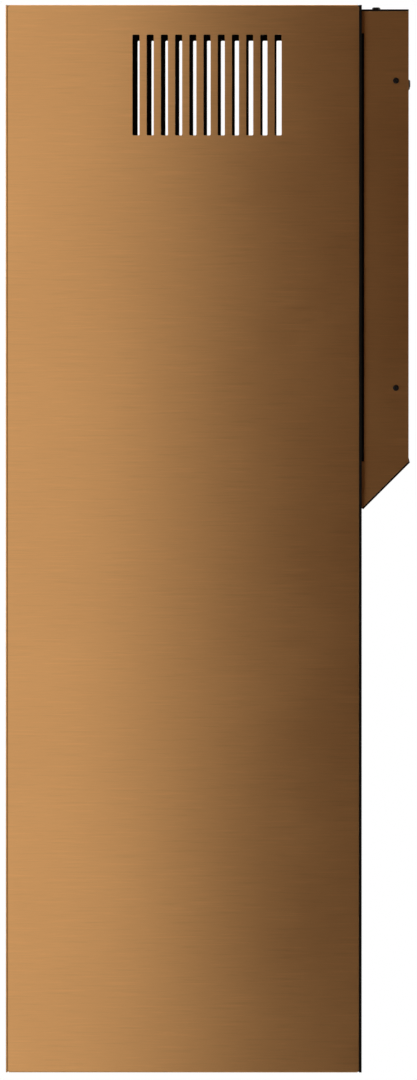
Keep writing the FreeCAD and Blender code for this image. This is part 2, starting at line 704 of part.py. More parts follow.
def flap_stop(across, side):
    """A small ledge on the collar's inner wall that the shut flap rests on."""
    bore = SPIGOT_RADIUS - SPIGOT_WALL
    top = FLAP_HEIGHT - FLAP_SHEET / 2 - STOP_CLEARANCE
    span = (top - STOP_SIZE[1], top)
    reach = sqrt(bore ** 2 - across ** 2)
    near, far = sorted((side * (reach - STOP_REACH), side * bore))
    half = STOP_SIZE[0] / 2
    ledge = block((across - half, across + half), (SPIGOT_DEPTH + near, SPIGOT_DEPTH + far), span)
    return ledge.common(rod(bore, 0, SPIGOT_DEPTH, span))


def damper_pin_and_stops():
    """The fixed pin across the spigot that both flaps turn on, and the four ledges under them."""
    pin = rod(FLAP_PIN_RADIUS, (-SPIGOT_RADIUS, SPIGOT_RADIUS), SPIGOT_DEPTH, FLAP_HEIGHT)
    stops = [
        flap_stop(across, side) for across in (-STOP_SPREAD, STOP_SPREAD) for side in (-1, 1)
    ]
    return group([pin] + stops)


def damper_flap(knuckle_spans):
    """The rear half-round flap: a sheet with knuckles that turn on the damper pin."""
    span = (FLAP_HEIGHT - FLAP_SHEET / 2, FLAP_HEIGHT + FLAP_SHEET / 2)
    disc = rod(SPIGOT_RADIUS - SPIGOT_WALL - 1, 0, SPIGOT_DEPTH, span)
    root_depth = SPIGOT_DEPTH + FLAP_KNUCKLE_RADIUS + 0.5
    leaf = disc.common(block((-HALF, HALF), (root_depth, TOTAL_DEPTH), span))
    webs = [block(x, (SPIGOT_DEPTH + 1, root_depth), span) for x in knuckle_spans]
    knuckles = [rod(FLAP_KNUCKLE_RADIUS, x, SPIGOT_DEPTH, FLAP_HEIGHT) for x in knuckle_spans]
    bore = rod(FLAP_PIN_RADIUS + RUNNING_GAP, (-HALF, HALF), SPIGOT_DEPTH, FLAP_HEIGHT)
    return join([leaf] + webs + knuckles).cut(bore)


def damper_flap_rear():
    return damper_flap([(-25, -5), (5, 25)])


def damper_flap_front():
    flap = damper_flap([(-48, -30), (30, 48)])
    flap.rotate(point(0, SPIGOT_DEPTH, FLAP_HEIGHT), Z_AXIS, 180)
    return flap


# ---- the grease filter ----
def filter_outline(inset):
    """The filter's (x, depth) spans inside its opening, drawn in by an inset."""
    half = FILTER_OPENING_WIDTH / 2 - FILTER_FIT - inset
    return (-half, half), (FILTER_OPENING_FRONT + FILTER_FIT + inset, FILTER_HINGE_DEPTH + 3 - inset)


def filter_frame():
    """The grease filter's frame, with a channel for the mesh and a shallow finger recess."""
    x, depth = filter_outline(0)
    body = block(x, depth, (FILTER_LOW, FILTER_HIGH))
    window_x, window_depth = filter_outline(FILTER_BAR)
    window = block(window_x, window_depth, (0, FLANGE))
    channel_x, channel_depth = filter_outline(FILTER_BAR - FILTER_CHANNEL)
    channel = block(channel_x, channel_depth, (FILTER_LOW + 1, FILTER_HIGH - 1))
    recess = block((-28, 28), (depth[0] + 3, depth[0] + 8), (0, FILTER_LOW + 2.5))
    return body.cut([window, channel, recess])


def filter_layer(span):
    x, depth = filter_outline(FILTER_BAR - FILTER_CHANNEL)
    return block(x, depth, span)


def filter_mesh_lower():
    return filter_layer((FILTER_LOW + 1, (FILTER_LOW + FILTER_HIGH) / 2))


def filter_mesh_upper():
    return filter_layer(((FILTER_LOW + FILTER_HIGH) / 2, FILTER_HIGH - 1))


def filter_hinge_pins():
    """Two trunnions at the frame's back edge that turn in the collar."""
    x, _ = filter_outline(0)
    middle = (FILTER_LOW + FILTER_HIGH) / 2
    return pair(rod(FILTER_HINGE_RADIUS, (x[1], x[1] + 5), FILTER_HINGE_DEPTH, middle))


def filter_magnets():
    """Two catch magnets on the plate in front of the filter opening."""
    depth = FILTER_OPENING_FRONT - SHEET
    return pair(block((74, 94), (depth - 8, depth), (2 * SHEET, 2 * SHEET + 6)))


# ---- lamps ----
def lamp_bezel():
    """A flanged ring that holds the lens and module in the plate's round hole."""
    x = LAMP_SPACING / 2
    flange = tube(LAMP_RADIUS + LAMP_FLANGE, LAMP_RADIUS, x, LAMP_DEPTH, (PLATE_FIT, SHEET))
    collar = tube(LAMP_RADIUS + 1.5, LAMP_RADIUS, x, LAMP_DEPTH, (PLATE_FIT, LAMP_COLLAR_HEIGHT))
    return join([flange, collar])


def lamp_lens():
    return rod(LAMP_RADIUS, LAMP_SPACING / 2, LAMP_DEPTH, (0.7, 3.2))


def lamp_module():
    heat_sink = rod(LAMP_RADIUS - 6, LAMP_SPACING / 2, LAMP_DEPTH, (12.0, 24.0))
    return join([rod(LAMP_RADIUS, LAMP_SPACING / 2, LAMP_DEPTH, (4.0, 12.0)), heat_sink])


# ---- push-buttons ----
def button(x):
    """A flush cap with a retaining collar and a guided stem."""
    cap = rod(BUTTON_RADIUS, x, (BUTTON_FACE, BUTTON_BACK), BUTTON_HEIGHT)
    collar = rod(BUTTON_COLLAR_RADIUS, x, (FRONT_SKIN + 0.5, BUTTON_BACK), BUTTON_HEIGHT)
    stem = rod(STEM_RADIUS, x, (BUTTON_BACK, STEM_END), BUTTON_HEIGHT)
    return join([cap, collar, stem])


def button_carrier():
    """A moulded plate behind the front panel that guides the stems and carries the board."""
    z = (BUTTON_HEIGHT - CARRIER_HALF_HEIGHT, BUTTON_HEIGHT + CARRIER_HALF_HEIGHT)
    half = CARRIER_HALF_WIDTH
    plate = block((-half, half), CARRIER_SPAN, z)
    foot = block((half - 4, half), (FRONT_SKIN, BUTTON_BOARD_FRONT), z)
    through = (CARRIER_SPAN[0] - 0.5, CARRIER_SPAN[1] + 0.5)
    holes = [rod(STEM_RADIUS + RUNNING_GAP, x, through, BUTTON_HEIGHT) for x in button_places()]
    return join([plate, foot, mirrored(foot)]).cut(holes)


def button_board():
    """The button circuit board with a push switch behind each stem."""
    z = (BUTTON_HEIGHT - CARRIER_HALF_HEIGHT, BUTTON_HEIGHT + CARRIER_HALF_HEIGHT)
    front = BUTTON_BOARD_FRONT
    board = block((-CARRIER_HALF_WIDTH, CARRIER_HALF_WIDTH), (front, front + BOARD_SHEET), z)
    switches = [
        block((x - 3, x + 3), (STEM_END + 2, front), (BUTTON_HEIGHT - 3, BUTTON_HEIGHT + 3))
        for x in button_places()
    ]
    return join([board] + switches)


# ---- electrics on the inside of the rear panel ----
def control_box():
    body = block(CONTROL_X, (CONTROL_FRONT, PANEL_INSIDE), CONTROL_Z)
    room = block(
        (CONTROL_X[0] + CONTROL_WALL, CONTROL_X[1] - CONTROL_WALL),
        (CONTROL_FRONT - 1, PANEL_INSIDE - CONTROL_WALL),
        (CONTROL_Z[0] + CONTROL_WALL, CONTROL_Z[1] - CONTROL_WALL),
    )
    return body.cut(room)


def control_box_cover():
    return block(CONTROL_X, (CONTROL_FRONT - CONTROL_WALL, CONTROL_FRONT), CONTROL_Z)


def control_board():
    """The control circuit board with its transformer and two relays."""
    face = CONTROL_BOARD_FACE
    x = CONTROL_X[0] + 2 * CONTROL_WALL
    low = CONTROL_Z[0] + 2 * CONTROL_WALL
    board = block((x, CONTROL_X[1] - 2 * CONTROL_WALL), (face, face + BOARD_SHEET), (low, low + 86))
    transformer = block((x + 6, x + 36), (face - 24, face), (low + 6, low + 36))
    relays = [
        block((x + start, x + start + 14), (face - 16, face), (low + 11, low + 29))
        for start in (44, 62)
    ]
    return join([board, transformer] + relays)


def terminal_block():
    """The supply terminals above the board: five wire entries in a moulded block."""
    first = CONTROL_X[0] + 17
    low = CONTROL_Z[1] - 24
    body = block((CONTROL_X[0] + 10, CONTROL_X[0] + 70), (326, 345), (low, low + 16))
    entries = [rod(2.2, first + i * TERMINAL_SPACING, (325, 340), low + 8) for i in range(5)]
    return body.cut(entries)


def capacitor():
    """The motor's run capacitor: a round can with two blade terminals."""
    low, high = CAPACITOR_SPAN
    can = rod(CAPACITOR_RADIUS, CAPACITOR_X, CAPACITOR_DEPTH, (low, high))
    terminals = [
        block((x - 0.4, x + 0.4), (CAPACITOR_DEPTH - 3, CAPACITOR_DEPTH + 3), (high, high + 10))
        for x in (CAPACITOR_X - 6, CAPACITOR_X + 6)
    ]
    return join([can] + terminals)


def capacitor_strap():
    """A sheet loop round the capacitor, fixed to the rear panel."""
    x = CAPACITOR_X
    band = tube(CAPACITOR_RADIUS + SHEET, CAPACITOR_RADIUS, x, CAPACITOR_DEPTH, STRAP_SPAN)
    foot = block((x - 25, x + 25), (PANEL_INSIDE - SHEET, PANEL_INSIDE), STRAP_SPAN)
    neck_front = CAPACITOR_DEPTH + CAPACITOR_RADIUS + SHEET / 2
    neck = block((x - 1, x + 1), (neck_front, PANEL_INSIDE), STRAP_SPAN)
    return join([band, foot, neck])


def motor_shaft():
    return rod(SHAFT_RADIUS, SHAFT_SPAN, BLOWER_DEPTH, BLOWER_HEIGHT)


def rotor():
    return blower_ring(ROTOR_RADIUS, SHAFT_RADIUS, (-35, -18))


def stator():
    return blower_ring(MOTOR_RADIUS - MOTOR_WALL, ROTOR_RADIUS + 0.5, (-36, -17))


def build_all():
    right = {
        "side_panel": side_panel(),
        "box_side": box_side(),
        "scroll": scroll_half(),
        "inlet_grille": inlet_grille(),
        "carbon_case": carbon_case(),
        "carbon_bed": carbon_bed(),
    }
    nodes = {}
    for name, shape in right.items():
        nodes[name + "_right"] = shape
        nodes[name + "_left"] = mirrored(shape)
    for i, x in enumerate(button_places()):
        nodes["button_%d" % (i + 1)] = button(x)
    for shape, name in ((lamp_bezel(), "lamp_bezels"), (lamp_lens(), "lamp_lenses"),
                        (lamp_module(), "lamp_modules")):
        nodes[name] = pair(shape)
    builders = (
        front_panel, rear_panel, top_plate, bottom_plate, corner_cleats, box_top, box_slope,
        box_side_screws, box_top_screws, gap_seals, wall_bracket, hook_bolts, hang_rail,
        cable_grommet, impeller_wheel, motor_shaft, rotor, stator, motor_bearings, motor_can,
        motor_spider, motor_mounts, blower_shelf, outlet_spigot, damper_pin_and_stops,
        damper_flap_front, damper_flap_rear, filter_frame, filter_mesh_lower, filter_mesh_upper,
        filter_hinge_pins, filter_magnets, button_carrier, button_board, control_box,
        control_box_cover, control_board, terminal_block, capacitor, capacitor_strap,
    )
    for builder in builders:
        nodes[builder.__name__] = builder()
    return nodes


os.makedirs("parts", exist_ok=True)
for node, solid in build_all().items():
    save(solid, node)
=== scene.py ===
"""The finished look of a wall-hung column vent hood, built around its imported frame.

Everything is in metres, in the frame's own axes: x across the column, +y towards the wall, z up.
"""
import json
import math

import bmesh
import bpy
import numpy as np
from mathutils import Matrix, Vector


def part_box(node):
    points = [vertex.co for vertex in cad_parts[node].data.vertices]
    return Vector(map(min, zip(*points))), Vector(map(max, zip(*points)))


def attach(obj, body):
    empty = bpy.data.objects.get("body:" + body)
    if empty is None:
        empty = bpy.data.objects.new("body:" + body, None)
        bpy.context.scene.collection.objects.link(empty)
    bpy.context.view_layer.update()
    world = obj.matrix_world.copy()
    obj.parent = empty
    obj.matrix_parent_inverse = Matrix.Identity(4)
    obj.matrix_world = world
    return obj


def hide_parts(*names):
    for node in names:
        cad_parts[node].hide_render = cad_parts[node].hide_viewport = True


bl_info = {
    "name": "Column Vent Hood",
    "version": (1, 0, 0),
    "blender": (4, 5, 0),
    "location": "View3D > Sidebar > Vent Hood",
    "description": "Builds the panels, screws, filters, lamps and finishes of a column vent hood",
    "category": "Object",
}

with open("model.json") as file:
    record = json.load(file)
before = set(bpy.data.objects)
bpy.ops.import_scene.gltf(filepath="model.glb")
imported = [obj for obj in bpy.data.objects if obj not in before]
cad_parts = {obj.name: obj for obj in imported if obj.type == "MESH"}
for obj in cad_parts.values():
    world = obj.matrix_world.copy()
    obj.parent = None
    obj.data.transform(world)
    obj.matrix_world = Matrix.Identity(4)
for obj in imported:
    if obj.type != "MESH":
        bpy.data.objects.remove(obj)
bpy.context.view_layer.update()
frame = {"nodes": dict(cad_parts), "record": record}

HOOD = "hood"
FINISH = "finish "
MM = 0.001
TURN = 2 * math.pi
WELD = 2e-6
SCREW_SHANK = 1.9 * MM
SCREW_LENGTH = 8 * MM
SIDE_SCREW_RADIUS = 3.0 * MM
# the column's axis is taken to stand this far in front of the origin
AXIS_SHIFT = 0.024
INNER_LIMIT = -0.12
EDGE_GAIN = 3.4
# the camera, and the point it looks at: how far behind the front face, and how high
CAMERA_OFFSET = (0.352, 0.761)
TARGET_OFFSET = (0.20135, 0.5290)
ROOM_LIGHT = (0.08, 0.075, 0.065)


# ---- what a user may change ----
class HoodFinishes(bpy.types.PropertyGroup):
    copper: bpy.props.FloatVectorProperty(
        name="Copper", description="Colour of the brushed copper finish",
        subtype="COLOR", size=3, min=0, max=1, default=(0.80, 0.424, 0.162))
    copper_roughness: bpy.props.FloatProperty(
        name="Copper roughness", description="How widely the brushed finish spreads a reflection",
        subtype="FACTOR", min=0, max=1, default=0.35)
    black_paint: bpy.props.FloatVectorProperty(
        name="Black paint", description="Colour of the painted rear panel and wall box ends",
        subtype="COLOR", size=3, min=0, max=1, default=(0.008, 0.006, 0.004))
    zinc: bpy.props.FloatVectorProperty(
        name="Zinc", description="Colour of the galvanised plates inside the column",
        subtype="COLOR", size=3, min=0, max=1, default=(0.50, 0.51, 0.52))
    grey_plastic: bpy.props.FloatVectorProperty(
        name="Grey plastic", description="Colour of the moulded blower housing",
        subtype="COLOR", size=3, min=0, max=1, default=(0.20, 0.20, 0.21))


class HoodVents(bpy.types.PropertyGroup):
    count: bpy.props.IntProperty(
        name="Slots", description="Vent slots in each side panel", min=1, default=11)
    pitch: bpy.props.FloatProperty(
        name="Pitch", description="From one slot to the next",
        subtype="DISTANCE", unit="LENGTH", default=14.1 * MM)
    width: bpy.props.FloatProperty(
        name="Width", description="Width of a slot",
        subtype="DISTANCE", unit="LENGTH", default=7.0 * MM)
    length: bpy.props.FloatProperty(
        name="Length", description="Height of a slot",
        subtype="DISTANCE", unit="LENGTH", default=100 * MM)
    drop: bpy.props.FloatProperty(
        name="Drop", description="From the top of the column to the top of the slots",
        subtype="DISTANCE", unit="LENGTH", default=29.4 * MM)
    middle: bpy.props.FloatProperty(
        name="Middle", description="Where the row of slots is centred along the side",
        subtype="DISTANCE", unit="LENGTH", default=-1.1 * MM)
    corner: bpy.props.FloatProperty(
        name="Corner", description="How much of each slot's corners is cut across",
        subtype="DISTANCE", unit="LENGTH", default=0.7 * MM)


class HoodPanels(bpy.types.PropertyGroup):
    bend: bpy.props.FloatProperty(
        name="Bend", description="Outer radius of a folded edge",
        subtype="DISTANCE", unit="LENGTH", default=0.8 * MM)
    relief: bpy.props.FloatProperty(
        name="Relief", description="Notch where two flanges meet",
        subtype="DISTANCE", unit="LENGTH", default=1.5 * MM)
    sheet: bpy.props.FloatProperty(
        name="Sheet", description="Thickness of the side panels",
        subtype="DISTANCE", unit="LENGTH", default=1.0 * MM)
    edge_break: bpy.props.FloatProperty(
        name="Edge break", description="How much the cut edges are rounded",
        subtype="DISTANCE", unit="LENGTH", default=0.15 * MM)


class HoodScrews(bpy.types.PropertyGroup):
    recess: bpy.props.FloatProperty(
        name="Recess", description="Depth of the cross in a screw's head",
        subtype="DISTANCE", unit="LENGTH", default=1.3 * MM)
    pitch: bpy.props.FloatProperty(
        name="Thread pitch", description="From one turn of the thread to the next",
        subtype="DISTANCE", unit="LENGTH", default=1.3 * MM)


class HoodFilter(bpy.types.PropertyGroup):
    strand_pitch: bpy.props.FloatProperty(
        name="Strand pitch", description="From one strand of the expanded metal to the next",
        subtype="DISTANCE", unit="LENGTH", default=4.0 * MM)
    diamond_length: bpy.props.FloatProperty(
        name="Diamond length", description="Length of one opening along its strand",
        subtype="DISTANCE", unit="LENGTH", default=7.0 * MM)
    strand_width: bpy.props.FloatProperty(
        name="Strand width", description="Width of one strand",
        subtype="DISTANCE", unit="LENGTH", default=0.9 * MM)


class HoodStage(bpy.types.PropertyGroup):
    drop: bpy.props.FloatProperty(
        name="Floor drop", description="How far the floor lies under the hung column",
        subtype="DISTANCE", unit="LENGTH", min=0, default=0.30)
    camera_distance: bpy.props.FloatProperty(
        name="Camera distance", description="From the camera to the near side panel",
        subtype="DISTANCE", unit="LENGTH", min=1, default=14.74)
    view_height: bpy.props.FloatProperty(
        name="View height", description="Height of the view at the near side panel",
        subtype="DISTANCE", unit="LENGTH", min=0.1, default=1.07207)
    key_power: bpy.props.FloatProperty(
        name="Key power", description="Power of the tall strip beside the front edge",
        unit="POWER", min=0, default=3.25)
    fill: bpy.props.FloatProperty(
        name="Surrounding light", description="Brightness of the room as it lights the object",
        min=0, default=0.074)
    fill_tint: bpy.props.FloatVectorProperty(
        name="Surrounding tint", description="Colour of the room's light on the object",
        subtype="COLOR", size=3, min=0, max=1, default=(1.0, 0.33, 0.0))


# ---- mesh making ----
def grid_faces(rows, columns, wrap=False):
    """Four-cornered faces between neighbouring points of a rows by columns grid."""
    row = np.arange(rows - 1)[:, None]
    column = np.arange(columns if wrap else columns - 1)[None, :]
    here = row * columns + column
    beside = row * columns + (column + 1) % columns
    return np.stack([here, beside, beside + columns, here + columns], axis=-1).reshape(-1, 4)


def grid_shape(points, wrap=False):
    """A surface from a rows by columns array of points."""
    rows, columns = points.shape[:2]
    return points.reshape(-1, 3), [grid_faces(rows, columns, wrap)]


def together(shapes):
    """One shape from several: all their points, and their faces renumbered to suit."""
    faces, start = [], 0
    for points, groups in shapes:
        faces += [group + start for group in groups]
        start += len(points)
    return np.concatenate([points for points, _ in shapes]), faces


def turned(outline, count):
    """A profile of (radius, height) carried round the z axis: (r cos a, r sin a, h)."""
    outline = np.asarray(outline, dtype=float)
    angle = np.linspace(0, TURN, count, endpoint=False)[None, :]
    radius, height = outline[:, :1], outline[:, 1:]
    level = height + 0 * angle
    points = np.stack([radius * np.cos(angle), radius * np.sin(angle), level], -1)
    return grid_shape(points, wrap=True)


def aimed(shape, axis, place):
    """The shape with its z axis turned to another axis, and its origin moved to a place."""
    points, faces = shape
    turn = Vector((0, 0, 1)).rotation_difference(Vector(axis)).to_matrix()
    return points @ np.array(turn).T + np.array(place), faces


def mirrored(shape):
    """The shape reflected in the column's middle plane, its faces wound the other way."""
    points, faces = shape
    return points * (-1, 1, 1), [group[:, ::-1] for group in faces]


def rounded_outline(corners, radius, steps=4):
    """A closed outline whose corners are arcs: each arc is a quadratic curve from a point one
    radius before the corner to a point one radius after it, pulled towards the corner."""
    corners = np.asarray(corners, dtype=float)
    before, after = np.roll(corners, 1, axis=0) - corners, np.roll(corners, -1, axis=0) - corners
    length_before = np.linalg.norm(before, axis=1, keepdims=True)
    length_after = np.linalg.norm(after, axis=1, keepdims=True)
    reach = np.minimum(radius, 0.45 * np.minimum(length_before, length_after))
    start = corners + before / length_before * reach
    end = corners + after / length_after * reach
    t = np.linspace(0, 1, steps)[None, :, None]
    first, middle, last = start[:, None], corners[:, None], end[:, None]
    arcs = (1 - t) ** 2 * first + 2 * t * (1 - t) * middle + t ** 2 * last
    outline = arcs.reshape(-1, 2)
    return np.concatenate([outline, outline[:1]])


def fill_mesh(name, shape):
    points, faces = shape
    corners = np.concatenate([np.full(len(group), group.shape[1]) for group in faces])
    mesh = bpy.data.meshes.new(name)
    mesh.vertices.add(len(points))
    mesh.vertices.foreach_set("co", np.ascontiguousarray(points, dtype=np.float32).ravel())
    order = np.concatenate([group.ravel() for group in faces])
    mesh.loops.add(len(order))
    mesh.loops.foreach_set("vertex_index", order.astype(np.int32))
    mesh.polygons.add(len(corners))
    starts = np.concatenate([[0], np.cumsum(corners)[:-1]])
    mesh.polygons.foreach_set("loop_start", starts.astype(np.int32))
    mesh.update(calc_edges=True)
    mesh.validate()
    return mesh


def make_piece(name, shape, body, slot, replaced=(), closed=True, crease=35):
    """A finished piece: seams and poles welded, faces outwards, in its slot's finish."""
    mesh = fill_mesh(name, shape)
    work = bmesh.new()
    work.from_mesh(mesh)
    bmesh.ops.remove_doubles(work, verts=work.verts, dist=WELD)
    if closed:
        bmesh.ops.recalc_face_normals(work, faces=work.faces)
    work.to_mesh(mesh)
    work.free()
    mesh.shade_smooth()
    mesh.set_sharp_from_angle(angle=math.radians(crease))
    mesh.materials.append(bpy.data.materials[FINISH + slot])
    piece = bpy.data.objects.new(name, mesh)
    bpy.context.scene.collection.objects.link(piece)
    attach(piece, body)
    if replaced:
        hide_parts(*replaced)
    return piece


# ---- side panels ----
def fold_lines(low, high, flange, bend, cuts):
    """Lines across one direction of a tray: up one flange, round its bend, along the face and
    down the far flange. Gives each line's place and how far it is sunk below the face."""
    arc = np.linspace(0, math.pi / 2, 5)
    away, sunk = bend * (1 - np.cos(arc)), bend * (1 - np.sin(arc))
    face = np.array(sorted(cuts))
    place = np.concatenate([[low], low + away, face, (high - away)[::-1], [high]])
    depth = np.concatenate([[flange], sunk, 0 * face, sunk[::-1], [flange]])
    return place, depth


def side_panel_shape(vents, panels):
    """The outer skin of the right side panel: a tray folded from one sheet. Its two parameters
    run along the unfolded sheet, round the bends, and cells are left out for the slots and for
    the notches between flanges. A slot's four corner cells keep the half outside the cut."""
    low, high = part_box("side_panel_right")
    flange = high.x - low.x
    half, corner = vents.width / 2, vents.corner
    middles = vents.middle + (np.arange(vents.count) - (vents.count - 1) / 2) * vents.pitch
    steps = np.array([-half, -half + corner, half - corner, half])
    slot_cuts = (middles[:, None] + steps).ravel()
    y_cuts = list(slot_cuts) + [low.y + panels.relief, high.y - panels.relief]
    top = high.z - vents.drop
    foot = top - vents.length
    slot_z = np.array([foot, foot + corner, top - corner, top])
    z_cuts = list(slot_z) + [low.z + panels.relief, high.z - panels.relief]
    y, sunk_y = fold_lines(low.y, high.y, flange, panels.bend, y_cuts)
    z, sunk_z = fold_lines(low.z, high.z, flange, panels.bend, z_cuts)
    sunk = np.maximum(sunk_y[:, None], sunk_z[None, :])
    points = np.stack([high.x - sunk, y[:, None] + 0 * sunk, z[None, :] + 0 * sunk], -1)

    y_mid, z_mid = (y[:-1] + y[1:]) / 2, (z[:-1] + z[1:]) / 2
    near_y = (y_mid < low.y + panels.relief) | (y_mid > high.y - panels.relief)
    near_z = (z_mid < low.z + panels.relief) | (z_mid > high.z - panels.relief)
    offset = np.abs(y_mid[:, None] - middles[None, :]).min(axis=1)
    in_slot = (offset < half)[:, None] & ((z_mid > slot_z[0]) & (z_mid < slot_z[3]))[None, :]
    side_y = offset > half - corner
    side_z = (z_mid < slot_z[1]) | (z_mid > slot_z[2])
    corner_cell = in_slot & side_y[:, None] & side_z[None, :]
    keep = ~(near_y[:, None] & near_z[None, :]) & ~in_slot
    cells = grid_faces(len(y), len(z)).reshape(len(y) - 1, len(z) - 1, 4)

    signed = y_mid - middles[np.abs(y_mid[:, None] - middles[None, :]).argmin(axis=1)]
    towards_low_y = (signed < 0)[:, None] & np.ones_like(keep)
    towards_low_z = np.ones_like(keep) & (z_mid < (slot_z[0] + slot_z[3]) / 2)[None, :]
    first = np.where(towards_low_y, np.where(towards_low_z, 0, 1), np.where(towards_low_z, 3, 2))
    picks = cells[corner_cell]
    turn = first[corner_cell]
    row = np.arange(len(picks))
    triangles = np.stack([picks[row, (turn + k) % 4] for k in (3, 0, 1)], axis=-1)
    faces = [cells[keep][:, ::-1], triangles[:, ::-1]]
    used = np.unique(np.concatenate([group.ravel() for group in faces]))
    number = np.full(len(y) * len(z), -1)
    number[used] = np.arange(len(used))
    return points.reshape(-1, 3)[used], [number[group] for group in faces]


class VENTHOOD_OT_side_panels(bpy.types.Operator):
    """Fold the two slotted side panels from sheet"""
    bl_idname = "vent_hood.side_panels"
    bl_label = "Side panels"

    def execute(self, context):
        scene = context.scene
        right = side_panel_shape(scene.vent_hood_vents, scene.vent_hood_panels)
        for side, shape in (("right", right), ("left", mirrored(right))):
            node = "side_panel_" + side
            piece = make_piece(node + "_skin", shape, HOOD, "brushed_copper", (node,), closed=False)
            wall = piece.modifiers.new("sheet", "SOLIDIFY")
            wall.thickness = scene.vent_hood_panels.sheet
            wall.offset = -1
            wall.use_even_offset = True
            edges = piece.modifiers.new("broken edges", "BEVEL")
            edges.width = scene.vent_hood_panels.edge_break
            edges.segments = 2
            edges.limit_method = "ANGLE"
            edges.angle_limit = math.radians(50)
            edges.harden_normals = True
        return {"FINISHED"}


# ---- screws and bolts ----
def screw_shape(radius, rise, settings):
    """A round-headed screw along z, its head from 0 to rise. Head height over a polar grid is
    rise (1 - (r/R)^5)^(1/5), less a cross with smooth walls that tapers towards its tips. The
    shank's radius follows a triangular wave of (z / pitch - angle), and its tip closes."""
    count = 72
    angle = np.linspace(0, TURN, count, endpoint=False)[None, :]
    share = np.sin(np.linspace(0, math.pi / 2, 26))[:, None]
    r = radius * share + 0 * angle
    dome = rise * (1 - share ** 5) ** 0.2 + 0 * angle
    x, y = np.abs(r * np.cos(angle)), np.abs(r * np.sin(angle))
    along, across = np.maximum(x, y), np.minimum(x, y)
    arm, blade, soft = 0.56 * radius, 0.13 * radius, 0.05 * radius
    within_blade = np.clip((blade - across) / soft + 0.5, 0, 1)
    inside = within_blade * np.clip((arm - along) / soft + 0.5, 0, 1)
    floor = settings.recess * (1 - 0.5 * along / arm)
    head_z = dome - inside * floor
    turns = np.linspace(0, 1, 34)[:, None]
    depth = -SCREW_LENGTH * turns + 0 * angle
    wave = 2 * np.abs((depth / settings.pitch - angle / TURN) % 1 - 0.5)
    taper = np.clip((1 - turns) * 4, 0, 1) * np.clip(turns * 8, 0, 1)
    thread_r = SCREW_SHANK * (1 - 0.22 * wave * taper) * np.clip((1.02 - turns) * 6, 0.15, 1)
    rows_r = np.concatenate([r, thread_r, 0 * angle])
    rows_z = np.concatenate([head_z, depth, -SCREW_LENGTH + 0 * angle])
    shape = np.stack([rows_r * np.cos(angle), rows_r * np.sin(angle), rows_z], -1)
    return grid_shape(shape, wrap=True)


class VENTHOOD_OT_screws(bpy.types.Operator):
    """Turn the cross-headed screws of the wall box and the bolts it hooks on"""
    bl_idname = "vent_hood.screws"
    bl_label = "Screws and bolts"

    def execute(self, context):
        settings = context.scene.vent_hood_screws
        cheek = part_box("box_side_right")[1]
        low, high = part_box("box_side_screws")
        radius, rise = SIDE_SCREW_RADIUS, high.x - cheek.x
        y = high.y - radius
        side = screw_shape(radius, rise, settings)
        shapes = []
        for z in (low.z + radius, high.z - radius):
            right = aimed(side, (1, 0, 0), (cheek.x, y, z))
            shapes += [right, mirrored(right)]
        make_piece("box_side_screw_set", together(shapes), HOOD, "black_screw",
                   ("box_side_screws",))

        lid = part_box("box_top")[1]
        low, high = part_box("box_top_screws")
        radius, rise = (high.y - low.y) / 2, high.z - lid.z
        y = (high.y + low.y) / 2
        top = screw_shape(radius, rise, settings)
        shapes = [aimed(top, (0, 0, 1), (x, y, lid.z))
                  for x in (low.x + radius, 0, high.x - radius)]
        make_piece("box_top_screw_set", together(shapes), HOOD, "black_screw", ("box_top_screws",))
        return self.bolts()

    def bolts(self):
        """Hook bolts turned from a profile: button head, nut, shank and a flanged nose."""
        low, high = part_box("hook_bolts")
        nose_radius = (high.z - low.z) / 2
        head = nose_radius - 0.5 * MM
        length = high.y - low.y
        shank = 2.5 * MM
        outline = [
            (0, 0), (0.55 * head, 0), (0.9 * head, 0.5 * MM), (head, 1.2 * MM), (head, 2 * MM),
            (shank, 2 * MM), (shank, 3.8 * MM), (head, 3.8 * MM), (head, 4.2 * MM),
            (head - 0.3 * MM, 6.8 * MM), (shank, 6.8 * MM), (shank, length - 3 * MM),
            (nose_radius - 0.3 * MM, length - 3 * MM), (nose_radius, length - 2.7 * MM),
            (nose_radius, length - 0.5 * MM), (nose_radius - 0.5 * MM, length), (0, length),
        ]
        bolt = turned(outline, 48)
        z = (low.z + high.z) / 2
        shapes = [aimed(bolt, (0, -1, 0), (x, high.y, z))
                  for x in (low.x + nose_radius, high.x - nose_radius)]
        make_piece("hook_bolt_pair", together(shapes), HOOD, "black_screw", ("hook_bolts",))
        return {"FINISHED"}


# ---- push-buttons ----
class VENTHOOD_OT_buttons(bpy.types.Operator):
    """Turn the dished metal push-buttons with their stems"""
    bl_idname = "vent_hood.buttons"
    bl_label = "Push-buttons"

    def execute(self, context):
        names = sorted(name for name in frame["nodes"] if name.startswith("button_") and
                       name[-1].isdigit())
        for name in names:
            low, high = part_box(name)
            shape = aimed(self.cap(high.y - low.y), (0, -1, 0),
                          ((low.x + high.x) / 2, low.y, (low.z + high.z) / 2))
            make_piece(name + "_cap", shape, name, "button_metal", (name,))
        return {"FINISHED"}

    def cap(self, length):
        """The face dips by 0.5 mm as 1 - (r/R)^2, inside a rolled rim; then the collar and the
        stem behind it. Heights are measured outwards from the face's plane."""
        dish = np.linspace(0, 5.3, 14)
        dip = -0.5 * (1 - (dish / 5.3) ** 2) - 0.05
        rim = np.array([(5.5, -0.02), (5.8, 0), (6.3, -0.06), (6.6, -0.25), (6.7, -0.6),
                        (6.7, -1.8)])
        back = np.array([(8.8, -1.8), (9.0, -2.0), (9.0, -3.0), (8.8, -3.2), (2.5, -3.2)])
        stem = np.array([(2.5, -length / MM + 0.3), (2.2, -length / MM), (0, -length / MM)])
        outline = np.concatenate([np.stack([dish, dip], -1), rim, back, stem])
        return turned(outline * MM, 64)


